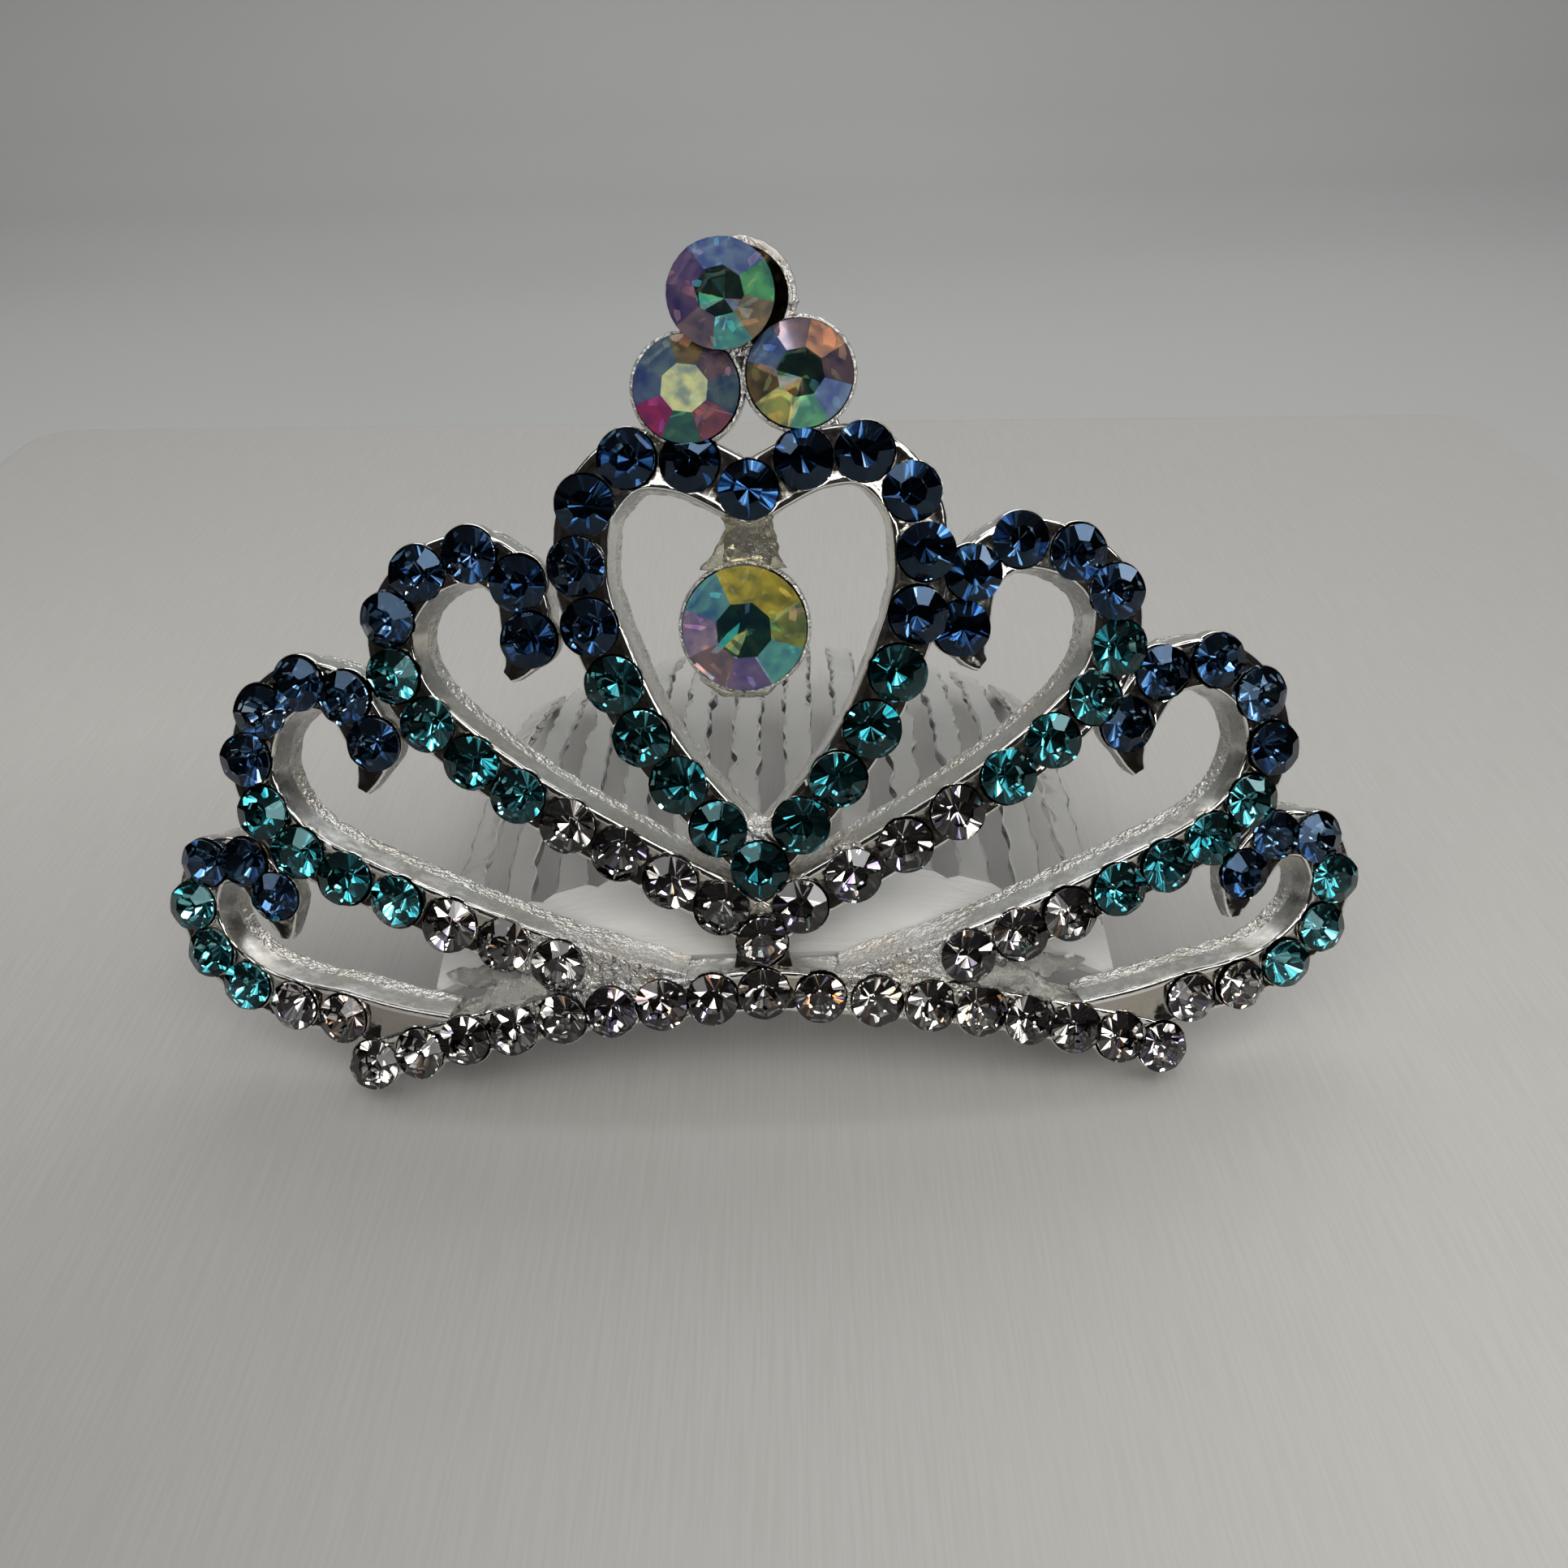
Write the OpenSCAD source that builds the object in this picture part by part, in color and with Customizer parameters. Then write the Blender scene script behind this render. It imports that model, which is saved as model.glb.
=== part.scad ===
// Mini tiara: a cast frame set with round stones, glued to a clear hair comb.
// Millimetres, +Z up, front facing -Y, mirror plane of the frame at X = 0.
// It stands on the two ends of its base band and on the tips of the comb.
// Loops are drawn on a flat sheet (u across, v up, n towards the viewer),
// which is then bent to the head's curve and leaned back.

/* [Sheet] */
// Radius that the flat casting is bent to
bend_r = 120; // [90:5:300]
// Angle that the casting leans back by
lean = 19; // [16:1:22]

/* [Bar] */
// Width of a bar at its front face, over the bevels
bar_w = 3.2; // [3.1:0.1:3.6]
// Extra width of a bar at its back, on each side
bar_flare = 0.35; // [0.2:0.05:0.45]
// Depth of a bar from front to back
bar_d = 2.6; // [2.2:0.1:2.8]
// Bevel along the front edges
bar_bevel = 0.2; // [0.1:0.05:0.3]

/* [Small stones] */
// Girdle diameter of the stones in the heart and the two upper petals
stone_d = 2.95; // [2.7:0.05:2.95]
// Girdle diameter of the stones in the base, the neck and the low petal
stone_low_d = 2.75; // [2.5:0.05:2.75]
// Gap between a stone and its seat
seat_gap = 0.06; // [0.04:0.01:0.1]

/* [Large stones] */
// Girdle diameter of the three stones on top
crest_d = 5.65; // [5.2:0.05:5.65]
// Girdle diameter of the stone hung in the heart
drop_d = 6.7; // [6:0.1:6.8]
// Wall of the cups that hold the large stones
cup_wall = 0.2; // [0.15:0.05:0.3]

/* [Comb] */
// Width of the comb over its outer teeth
comb_w = 39.5; // [36:0.5:40]
// Number of teeth
comb_teeth = 12; // [10:1:13]
// Length of the comb along its curve
comb_l = 47; // [42:1:48]
// Depth of the spine that joins the teeth
spine_l = 4; // [3.6:0.2:5]
// Thickness of the spine
comb_t = 1.2; // [1:0.1:1.4]
// Share of the tooth pitch that is slot
slot_share = 0.48; // [0.4:0.02:0.55]
// How far the comb sits to the right of the middle
comb_shift = 0.5; // [0:0.5:1]

/* [Hidden] */

// Centre lines of the bars on the right half of the flat sheet.
// Columns: u, v, width of the bar as a share of bar_w.
HEART = [[0, 31.3, 1], [3.2, 32.9, 1], [6.3, 33, 1], [8.6, 30.8, 1], [9.2, 27.6, 1],
    [8.6, 24.3, 1], [6.3, 18.8, 1], [3.3, 14.6, 1], [0, 11.1, 1]];
INNER = [[13.4, 21.6, 0.15], [12.6, 22.3, 0.6], [11.9, 23.8, 1], [12.3, 26.7, 1], [14.6, 28.3, 1],
    [17.7, 27.5, 1], [19.7, 25, 1], [19.6, 21.9, 1], [17.7, 19, 1], [13.2, 15.4, 1],
    [7.8, 12.1, 1], [2.2, 8.9, 1], [0, 7.6, 1]];
OUTER = [[22.1, 15.2, 0.15], [21.4, 16.5, 0.6], [21.1, 18.2, 1], [22.7, 20.9, 1], [25.5, 21.5, 1],
    [27.9, 19.8, 1], [28.9, 16.7, 1], [27.8, 13.6, 1], [25.3, 11.4, 1], [19.9, 9, 1],
    [14.4, 6.8, 1], [11.4, 5.7, 1], [8, 4.7, 0.95], [4.5, 4, 0.8]];
LOW = [[27.6, 6.4, 0.15], [27.5, 7.6, 0.6], [27.9, 9.3, 1], [29.8, 11.4, 1], [32.2, 11.1, 1],
    [33.3, 8.6, 1], [32.5, 5.9, 1], [30.1, 3.8, 1], [27.2, 2.8, 1], [24.3, 2.3, 1],
    [21.4, 1.7, 0.95], [18, 1.4, 0.8]];
BASE = [[0, 4, 1], [6, 3.4, 1], [11.8, 2.5, 1], [17.4, 1.1, 1], [22.6, -0.4, 1], [24, -0.8, 0.9]];

// Strings of stones. Columns: first and last control point that the stones
// run between, number of stones, number of blue, teal and clear ones.
HEART_SET = [0, 8, 11, 6, 5, 0];
INNER_SET = [2, 11, 13, 5, 4, 4];
OUTER_SET = [2, 11, 12, 5, 4, 3];
LOW_SET = [2, 9, 8, 3, 3, 2];
BASE_SET = [0, 4, 9, 0, 0, 9];
neck_v = 6.95;

// Large stones. Columns: u, v, height of the girdle, diameter, cup u, cup v,
// height of the cup's rim. The top stone has slipped to the left in its cup.
TOP = [-0.75, 41, 1.35, crest_d, 0.25, 40.9, 0.4];
LEFT = [-2.95, 36.8, 0.5, crest_d, -2.95, 36.8, 0.3];
RIGHT = [2.95, 36.8, 0.5, crest_d, 2.95, 36.8, 0.3];
DROP = [-0.4, 24.2, 0.6, drop_d, -0.4, 24.2, 0.3];

// Struts that tie the cups and the loops together. Columns: u, v, u, v, half width.
STRUTS = [[-3, 36.5, -4.2, 32.6, 1.4], [3, 36.5, 4.2, 32.6, 1.4], [0, 41, 0, 37, 1.6],
    [0, 31, -0.3, 26, 1.3], [0, 5, 0, 9, 1.7]];
STRUT_FRONT = -0.4;

// Proportions of a cut stone, as shares of its girdle diameter
TABLE_SHARE = 0.5;
CROWN_SHARE = 0.2;
GIRDLE_SHARE = 0.04;
PAVILION_SHARE = 0.4;
girdle_n = 0.12;

// Glue lumps between the outer petals and the base band.
// Columns: u, v, half of the height at the back.
GLUE = [[14.2, 4.3, 0.12], [16.2, 4.4, 0.7], [18.6, 4.5, 0.45]];
GLUE_FRONT = -1.7;
GLUE_BACK = -2.7;
GLUE_TAPER = 0.6;

// Corners of the glue between the hung stone and the dip of the heart: u, v, n
DROP_GLUE = [[-1.2, 29.2, 0.05], [1, 29.2, 0.05], [-0.9, 28, 0.05], [0.5, 28, 0.05],
    [-0.6, 29, 0.7], [0.5, 29, 0.7]];

// Steps of a curve between two control points, and length of a bar's facets
SUBSTEPS = 6;
RIB_STEP = 1.3;

// Cups: sides, how much wider than the stone's seat the hollow is on each side,
// height of the hollow's floor, its width there, reach of its mouth
CUP_SIDES = 20;
CUP_EASE = 0.03;
CUP_FLOOR = -1.6;
CUP_FLOOR_SHARE = 0.4;
CUP_MOUTH = 4;

// Comb: it starts behind the base band, rises a little and comes down to its tips.
comb_start_deg = 12;
comb_end_deg = -24;
comb_r = comb_l*180/PI/(comb_start_deg - comb_end_deg);
arch_r = 42;
comb_y = 5.5;
tooth_t = 0.9;
tip_t = 0.6;
tip_taper = 0.7;
comb_pitch = comb_w/(comb_teeth - slot_share);
slot_w = comb_pitch*slot_share;
tooth_w = comb_pitch - slot_w;
tip_x = comb_w/2 - tip_taper*slot_w/2;
function arch(x) = -(arch_r - sqrt(arch_r*arch_r - x*x));
comb_fall = comb_r*(cos(comb_start_deg) - cos(comb_end_deg));
comb_reach = comb_r*(sin(comb_start_deg) - sin(comb_end_deg));
comb_z = tip_t/2*cos(comb_end_deg) + comb_fall - arch(tip_x);

// Point of a flat sheet point after the bend and the lean
function leaned(u, v, n) =
    let (a = u*180/PI/bend_r, x = (bend_r + n)*sin(a), y = bend_r - (bend_r + n)*cos(a))
    [x, y*cos(lean) + v*sin(lean), v*cos(lean) - y*sin(lean)];

// The foot of the base band comes to Z = 0, and the middle of the depth to Y = 0.
foot = BASE[5];
foot_deg = atan2(BASE[5][1] - BASE[4][1], BASE[5][0] - BASE[4][0]);
foot_edge = foot[2]*(bar_w/2 + bar_flare);
sheet_z = -leaned(foot[0] + foot_edge*sin(foot_deg), foot[1] - foot_edge*cos(foot_deg), -bar_d)[2];
crown_n = girdle_n + (CROWN_SHARE + GIRDLE_SHARE)*stone_low_d;
front_y = leaned(0, BASE[0][1] - TABLE_SHARE*stone_low_d/2, crown_n)[1];
back_y = comb_y + comb_reach;
mid_y = (front_y + back_y)/2;

// Point of the part for a point of the flat sheet
function on_sheet(u, v, n) = leaned(u, v, n) + [0, -mid_y, sheet_z];

// Smooth curve through control points, its running length, and a point on it
function blend(a, b, c, d, t) =
    0.5*(2*b + (c - a)*t + (2*a - 5*b + 4*c - d)*t*t + (3*b - a - 3*c + d)*t*t*t);
function curve(P) = [for (i = [0:len(P) - 2]) for (j = [0:SUBSTEPS - 1])
    blend(P[max(i - 1, 0)], P[i], P[i + 1], P[min(i + 2, len(P) - 1)], j/SUBSTEPS),
    P[len(P) - 1]];
function flat_gap(a, b) = norm([b[0] - a[0], b[1] - a[1]]);
function running(C) = [for (i = 0, s = 0; i < len(C);
    s = s + (i + 1 < len(C) ? flat_gap(C[i], C[i + 1]) : 0), i = i + 1) s];
function column(C, S, k) = [for (i = [0:len(C) - 1]) [S[i], C[i][k]]];
function track(P) = let (C = curve(P), S = running(C))
    [column(C, S, 0), column(C, S, 1), column(C, S, 2), S];
function at(T, s) = [lookup(s, T[0]), lookup(s, T[1]), lookup(s, T[2])];
function total(T) = T[3][len(T[3]) - 1];
function mark(T, control) = T[3][control*SUBSTEPS];
function heading(T, s) = let (e = 0.05, a = at(T, max(s - e, 0)), b = at(T, min(s + e, total(T))))
    atan2(b[1] - a[1], b[0] - a[0]);

// Places children at a sheet point, +Z to the viewer and +Y up the sheet
module place(u, v, n = 0) {
    a = u*180/PI/bend_r;
    p = on_sheet(u, v, n);
    translate(p) rotate([-lean, 0, 0]) rotate([90, 0, a]) children();
}

// Convex solid round a set of points
module wrap(points) hull() polyhedron(points, [[for (i = [0:len(points) - 1]) i]]);

// Cross-section of a bar at length s of a track, side is -1 or 1. A bar that
// reaches the mirror plane is mitred there, so that its two halves share a face.
function rib(T, s, side) =
    let (p = at(T, s), h = heading(T, s), w = p[2]*bar_w/2, f = p[2]*(bar_w/2 + bar_flare),
        b = p[2]*(bar_w/2 - bar_bevel), across = p[0] == 0 ? [0, 1/cos(h)] : [-sin(h), cos(h)],
        outline = [[b, 0], [w, -bar_bevel], [f, -bar_d], [-f, -bar_d], [-w, -bar_bevel], [-b, 0]])
    [for (q = outline) on_sheet(side*(p[0] + q[0]*across[0]), p[1] + q[0]*across[1], q[1])];

module bar(P, side) {
    T = track(P);
    steps = ceil(total(T)/RIB_STEP);
    ribs = [for (i = [0:steps]) rib(T, total(T)*i/steps, side)];
    for (i = [0:steps - 1]) wrap(concat(ribs[i], ribs[i + 1]));
}

// Cut stone, girdle at Z = 0: a table, a crown of triangles and a pointed back
module stone(d, sides = 8, grow = 0) {
    r = d/2 + grow;
    table_r = d*TABLE_SHARE/2;
    top = d*(CROWN_SHARE + GIRDLE_SHARE);
    table = [for (i = [0:sides - 1]) let (a = (i + 0.5)*360/sides) [table_r*cos(a), table_r*sin(a), top]];
    girdle = [for (i = [0:sides - 1]) let (a = i*360/sides) [r*cos(a), r*sin(a), d*GIRDLE_SHARE]];
    back = [0, 0, -d*PAVILION_SHARE - grow];
    faces = concat([[for (i = [sides - 1:-1:0]) i]],
        [for (i = [0:sides - 1]) [i, (i + 1)%sides, sides + (i + 1)%sides]],
        [for (i = [0:sides - 1]) [i, sides + (i + 1)%sides, sides + i]],
        [for (i = [0:sides - 1]) [sides + i, sides + (i + 1)%sides, 2*sides]]);
    polyhedron(concat(table, girdle, [back]), faces);
}

// Stone positions of a string: [u, v, heading]
function seats(P, set) = let (T = track(P), a = mark(T, set[0]), b = mark(T, set[1]))
    [for (i = [0:set[2] - 1])
        let (s = a + (b - a)*i/(set[2] - 1), p = at(T, s)) [p[0], p[1], heading(T, s)]];
HEART_SEATS = seats(HEART, HEART_SET);
INNER_SEATS = seats(INNER, INNER_SET);
OUTER_SEATS = seats(OUTER, OUTER_SET);
LOW_SEATS = seats(LOW, LOW_SET);
BASE_SEATS = seats(BASE, BASE_SET);

module one_stone(q, side, d, grow = 0)
    place(side*q[0], q[1], girdle_n) rotate(side*q[2]) stone(d, 8, grow);

// Stones first to last of a string on one side
module string(S, side, d, first, last, grow = 0)
    for (i = [first:last]) one_stone(S[i], side, d, grow);

module large_stone(L) color("lightsteelblue") place(L[0], L[1], L[2]) stone(L[3], 16);

module cup(L) place(L[4], L[5], -bar_d)
    cylinder(d = L[3] + 2*(cup_wall + seat_gap), h = bar_d + L[6], $fn = CUP_SIDES);

// Hollow of a cup: a cone with a straight mouth, and the stone's own seat
module cup_hollow(L) {
    r = L[3]/2 + seat_gap + CUP_EASE;
    place(L[4], L[5]) rotate_extrude($fn = CUP_SIDES)
        polygon([[0, CUP_FLOOR], [CUP_FLOOR_SHARE*r, CUP_FLOOR], [r, 0], [r, CUP_MOUTH], [0, CUP_MOUTH]]);
    place(L[0], L[1], L[2]) stone(L[3], 16, seat_gap);
}

module strut(S) {
    h = atan2(S[3] - S[1], S[2] - S[0]);
    wrap([for (p = [[S[0], S[1]], [S[2], S[3]]]) for (w = [-S[4], S[4]]) for (n = [-bar_d, STRUT_FRONT])
        on_sheet(p[0] - w*sin(h), p[1] + w*cos(h), n)]);
}

module frame() {
    color("silver") difference() {
        union() {
            for (side = [-1, 1]) {
                bar(HEART, side);
                bar(INNER, side);
                bar(OUTER, side);
                bar(LOW, side);
                bar(BASE, side);
            }
            for (L = [TOP, LEFT, RIGHT, DROP]) cup(L);
            for (S = STRUTS) strut(S);
        }
        for (side = [-1, 1]) {
            string(HEART_SEATS, side, stone_d, 0, 10, seat_gap);
            string(INNER_SEATS, side, stone_d, 0, 12, seat_gap);
            string(OUTER_SEATS, side, stone_d, 0, 11, seat_gap);
            string(LOW_SEATS, side, stone_low_d, 0, 7, seat_gap);
            string(BASE_SEATS, side, stone_low_d, 0, 8, seat_gap);
        }
        one_stone([0, neck_v, 0], 1, stone_low_d, seat_gap);
        for (L = [TOP, LEFT, RIGHT, DROP]) cup_hollow(L);
    }
}

module heart_blue() color("midnightblue") {
    string(HEART_SEATS, 1, stone_d, 0, 5);
    string(HEART_SEATS, -1, stone_d, 1, 5);
}

module heart_teal() color("teal") {
    string(HEART_SEATS, 1, stone_d, 6, 10);
    string(HEART_SEATS, -1, stone_d, 6, 9);
}

// Colours of one side petal, from its curl to its root
module petal_blue(S, set, side, d) color("midnightblue") string(S, side, d, 0, set[3] - 1);
module petal_teal(S, set, side, d) color("teal") string(S, side, d, set[3], set[3] + set[4] - 1);
module petal_clear(S, set, side, d) color("gainsboro") string(S, side, d, set[3] + set[4], set[2] - 1);

module base_clear() color("gainsboro") {
    string(BASE_SEATS, 1, stone_low_d, 0, 8);
    string(BASE_SEATS, -1, stone_low_d, 1, 8);
}

module neck_clear() color("gainsboro") one_stone([0, neck_v, 0], 1, stone_low_d);

// Point of the comb at width x and length s, up from the middle of its thickness
function comb_point(x, s, up) =
    let (a = comb_start_deg - s*180/PI/comb_r)
    [x + comb_shift, comb_y - mid_y + comb_r*(sin(comb_start_deg) - sin(a)) - up*sin(a),
        comb_z + comb_r*(cos(a) - cos(comb_start_deg)) + arch(x) + up*cos(a)];

// Rows of the comb. Columns: distance from the slots' root, share of the slot filled,
// thickness. The spine ends at the root, and the next rows round the slots there.
SPINE = [[-spine_l, 0.9, comb_t], [0, 0.9, comb_t], [0.1, 0.5, 1.1], [0.3, 0.2, 1.05], [0.8, 0, 1]];
// Columns: share of the tooth's length, share of the slot filled, thickness
BLADE = [[0.2, 0, tooth_t], [0.4, 0, tooth_t], [0.6, 0, tooth_t], [0.8, -0.15, tooth_t],
    [0.95, -tip_taper/2, 0.7], [1, -tip_taper, tip_t]];
COMB_ROWS = concat(SPINE, [for (b = BLADE) [b[0]*(comb_l - spine_l), b[1], b[2]]]);

// Corners of tooth i at a row: left and right below, right and left above
function comb_corners(i, row) =
    let (x = -comb_w/2 + tooth_w/2 + i*comb_pitch, half = (tooth_w + row[1]*slot_w)/2,
        left = max(x - half, -comb_w/2), right = min(x + half, comb_w/2), s = spine_l + row[0])
    [comb_point(left, s, -row[2]/2), comb_point(right, s, -row[2]/2),
        comb_point(right, s, row[2]/2), comb_point(left, s, row[2]/2)];
function corner(row, i, c) = 4*(row*comb_teeth + i) + c;
function two_triangles(a, b, c, d) = [[a, c, b], [a, d, c]];

// One closed surface: the teeth, and the webs that join them in the spine
module comb() {
    points = [for (row = COMB_ROWS) for (i = [0:comb_teeth - 1]) each comb_corners(i, row)];
    last_row = len(COMB_ROWS) - 1;
    last = comb_teeth - 1;
    teeth = [for (r = [0:last_row - 1]) for (i = [0:last]) each concat(
        two_triangles(corner(r, i, 3), corner(r, i, 2), corner(r + 1, i, 2), corner(r + 1, i, 3)),
        two_triangles(corner(r, i, 0), corner(r + 1, i, 0), corner(r + 1, i, 1), corner(r, i, 1)))];
    left_sides = [for (r = [0:last_row - 1]) for (i = [0:last]) if (r > 0 || i == 0) each
        two_triangles(corner(r, i, 0), corner(r, i, 3), corner(r + 1, i, 3), corner(r + 1, i, 0))];
    right_sides = [for (r = [0:last_row - 1]) for (i = [0:last]) if (r > 0 || i == last) each
        two_triangles(corner(r, i, 1), corner(r + 1, i, 1), corner(r + 1, i, 2), corner(r, i, 2))];
    ends = [for (i = [0:last]) each concat(
        two_triangles(corner(0, i, 0), corner(0, i, 1), corner(0, i, 2), corner(0, i, 3)),
        two_triangles(corner(last_row, i, 0), corner(last_row, i, 3), corner(last_row, i, 2),
            corner(last_row, i, 1)))];
    webs = [for (i = [0:last - 1]) each concat(
        two_triangles(corner(0, i, 2), corner(0, i + 1, 3), corner(1, i + 1, 3), corner(1, i, 2)),
        two_triangles(corner(0, i, 1), corner(1, i, 1), corner(1, i + 1, 0), corner(0, i + 1, 0)),
        two_triangles(corner(0, i, 1), corner(0, i + 1, 0), corner(0, i + 1, 3), corner(0, i, 2)),
        two_triangles(corner(1, i, 1), corner(1, i, 2), corner(1, i + 1, 3), corner(1, i + 1, 0)))];
    color("whitesmoke", 0.5) polyhedron(points, concat(teeth, left_sides, right_sides, ends, webs));
}

// Lump of glue that fills the gap between two bars and reaches back to the comb
module glue(side) {
    corners = [[-1, GLUE_BACK], [1, GLUE_BACK], [GLUE_TAPER, GLUE_FRONT], [-GLUE_TAPER, GLUE_FRONT]];
    color("lightyellow", 0.6)
        wrap([for (g = GLUE) for (q = corners) on_sheet(side*g[0], g[1] + q[0]*g[2], q[1])]);
}

module glue_left() glue(-1);
module glue_right() glue(1);

module glue_drop() color("lightyellow", 0.6) wrap([for (q = DROP_GLUE) on_sheet(q[0], q[1], q[2])]);

frame();
comb();
glue_left();
glue_right();
glue_drop();
large_stone(TOP);  // stone_top
large_stone(LEFT);  // stone_left
large_stone(RIGHT);  // stone_right
large_stone(DROP);  // stone_drop
heart_blue();
heart_teal();
petal_blue(INNER_SEATS, INNER_SET, -1, stone_d);  // inner_left_blue
petal_teal(INNER_SEATS, INNER_SET, -1, stone_d);  // inner_left_teal
petal_clear(INNER_SEATS, INNER_SET, -1, stone_d);  // inner_left_clear
petal_blue(INNER_SEATS, INNER_SET, 1, stone_d);  // inner_right_blue
petal_teal(INNER_SEATS, INNER_SET, 1, stone_d);  // inner_right_teal
petal_clear(INNER_SEATS, INNER_SET, 1, stone_d);  // inner_right_clear
petal_blue(OUTER_SEATS, OUTER_SET, -1, stone_d);  // outer_left_blue
petal_teal(OUTER_SEATS, OUTER_SET, -1, stone_d);  // outer_left_teal
petal_clear(OUTER_SEATS, OUTER_SET, -1, stone_d);  // outer_left_clear
petal_blue(OUTER_SEATS, OUTER_SET, 1, stone_d);  // outer_right_blue
petal_teal(OUTER_SEATS, OUTER_SET, 1, stone_d);  // outer_right_teal
petal_clear(OUTER_SEATS, OUTER_SET, 1, stone_d);  // outer_right_clear
petal_blue(LOW_SEATS, LOW_SET, -1, stone_low_d);  // low_left_blue
petal_teal(LOW_SEATS, LOW_SET, -1, stone_low_d);  // low_left_teal
petal_clear(LOW_SEATS, LOW_SET, -1, stone_low_d);  // low_left_clear
petal_blue(LOW_SEATS, LOW_SET, 1, stone_low_d);  // low_right_blue
petal_teal(LOW_SEATS, LOW_SET, 1, stone_low_d);  // low_right_teal
petal_clear(LOW_SEATS, LOW_SET, 1, stone_low_d);  // low_right_clear
base_clear();
neck_clear();
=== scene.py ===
# Mini tiara: the dressed model. Lengths are millimetres until a mesh is made.
import math
import random

import bmesh
import bpy
from mathutils import Matrix, Vector, noise


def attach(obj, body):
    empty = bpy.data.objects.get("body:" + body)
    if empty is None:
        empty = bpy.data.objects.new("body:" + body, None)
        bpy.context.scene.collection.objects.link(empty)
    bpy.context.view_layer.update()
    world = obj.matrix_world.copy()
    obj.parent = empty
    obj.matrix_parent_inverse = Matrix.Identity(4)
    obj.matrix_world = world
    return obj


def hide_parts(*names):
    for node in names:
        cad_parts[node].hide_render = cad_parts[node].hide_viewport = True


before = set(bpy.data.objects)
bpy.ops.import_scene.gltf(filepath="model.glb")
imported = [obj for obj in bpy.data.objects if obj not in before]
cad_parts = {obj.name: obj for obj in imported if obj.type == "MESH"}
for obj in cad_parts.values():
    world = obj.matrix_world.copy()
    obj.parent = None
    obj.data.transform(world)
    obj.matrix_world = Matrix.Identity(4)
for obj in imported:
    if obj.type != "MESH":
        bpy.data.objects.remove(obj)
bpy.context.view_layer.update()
MM = 0.001
RNG = random.Random(7)

# Sheet: the casting is drawn flat (u across, v up, n to the viewer), bent and leaned
BEND_R = 120.0
LEAN = math.radians(19)
SHEET_SHIFT = Vector((0, -25.9092, 3.93011))

# Bars: depth, half widths on the plain and on the flared side, and how much wider each is at its back
BAR_D = 2.6
BAR_OUT = 1.14
BAR_IN = 1.56
FLARE_SHUT = 0.04
FLARE_OPEN = 0.4
FLARE_LOOP = 0.7 * FLARE_OPEN
BAR_BEVEL = 0.16
# Raised lip along a bar's front edges
BAR_LIP = 0.07
LIP_W = 0.26
# Rows down a bar's wall: share of the depth, and how rough the casting is there
WALL_ROWS = ((0.23, 0.5), (0.38, 0.3), (0.54, 0.3), (0.69, 0.5), (0.83, 0.9), (0.92, 1.0))
# Unevenness of the casting: size in mm, waves per mm and seed
CAST_WAVES = ((0.11, 0.9, 3), (0.08, 2.6, 9))
# How much deeper the front of each bar lies than the heart's, so that crossing bars share no plane
INNER_SINK = 0.03
BASE_SINK = 0.06
OUTER_SINK = 0.09
LOW_SINK = 0.12
# Length of a petal's hook that grows from thin to full depth
HOOK_L = 4.5
HOOK_THIN = 0.3

# Stones: diameters, the gap round them, spare depth for tilted ones, and the girdle's height
STONE_HEART_D = 3.1
STONE_D = 3.0
STONE_LOW_D = 2.82
STONE_BASE_D = 2.87
CREST_D = 5.42
DROP_D = 6.5
SEAT_GAP = 0.05
SEAT_SPARE = 0.3
GIRDLE_N = 0.12
PAVILION = 0.42
NECK_V = 6.95
# Seats closer than this are worked in separate steps
SEAT_REACH = 3.6

# Strings of stones and their bars: u, v and share of the bar's full width
HEART = [[0, 31.3, 1.15], [3.2, 32.9, 1.15], [6.3, 33, 1.13], [8.6, 30.8, 1.12], [9.2, 27.6, 1.1],
         [8.6, 24.3, 1.07], [6.3, 18.8, 1.03], [3.3, 14.6, 1], [0, 11.1, 1]]
INNER = [[13.2, 21.75, 0.3], [12.6, 22.3, 0.6], [11.9, 23.8, 1], [12.3, 26.7, 1], [14.6, 28.3, 1],
         [17.7, 27.5, 1], [19.7, 25, 1], [19.6, 21.9, 1], [17.7, 19, 1], [13.2, 15.4, 1],
         [7.8, 12.1, 1], [2.2, 8.9, 1], [0, 7.6, 1]]
OUTER = [[21.95, 15.5, 0.3], [21.4, 16.5, 0.6], [21.1, 18.2, 1], [22.7, 20.9, 1], [25.5, 21.5, 1],
         [27.9, 19.8, 1], [28.9, 16.7, 1], [27.8, 13.6, 1], [25.3, 11.4, 1], [19.9, 9, 1],
         [14.4, 6.8, 1], [11.4, 5.7, 1], [8, 4.7, 0.95], [4.5, 4, 0.8]]
LOW = [[27.55, 6.8, 0.3], [27.5, 7.6, 0.6], [27.9, 9.3, 1], [29.8, 11.4, 1], [32.2, 11.1, 1],
       [33.3, 8.6, 1], [32.5, 5.9, 1], [30.1, 3.8, 1], [27.2, 2.8, 1], [24.3, 2.3, 1],
       [21.4, 1.7, 0.95], [18, 1.4, 0.8]]
BASE = [[0, 4, 0.87], [6, 3.4, 0.87], [11.8, 2.5, 0.87], [17.4, 1.1, 0.87], [22.6, -0.4, 0.87],
        [23.9, -0.75, 0.5]]

# The right-hand petals' hooked ends are bent in: how far, over what length, and how much they sink
TUCKS = ((INNER, 1.05), (OUTER, 1.0), (LOW, 0.6))
TUCK_L = 13.0
TUCK_SINK = 0.35

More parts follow.
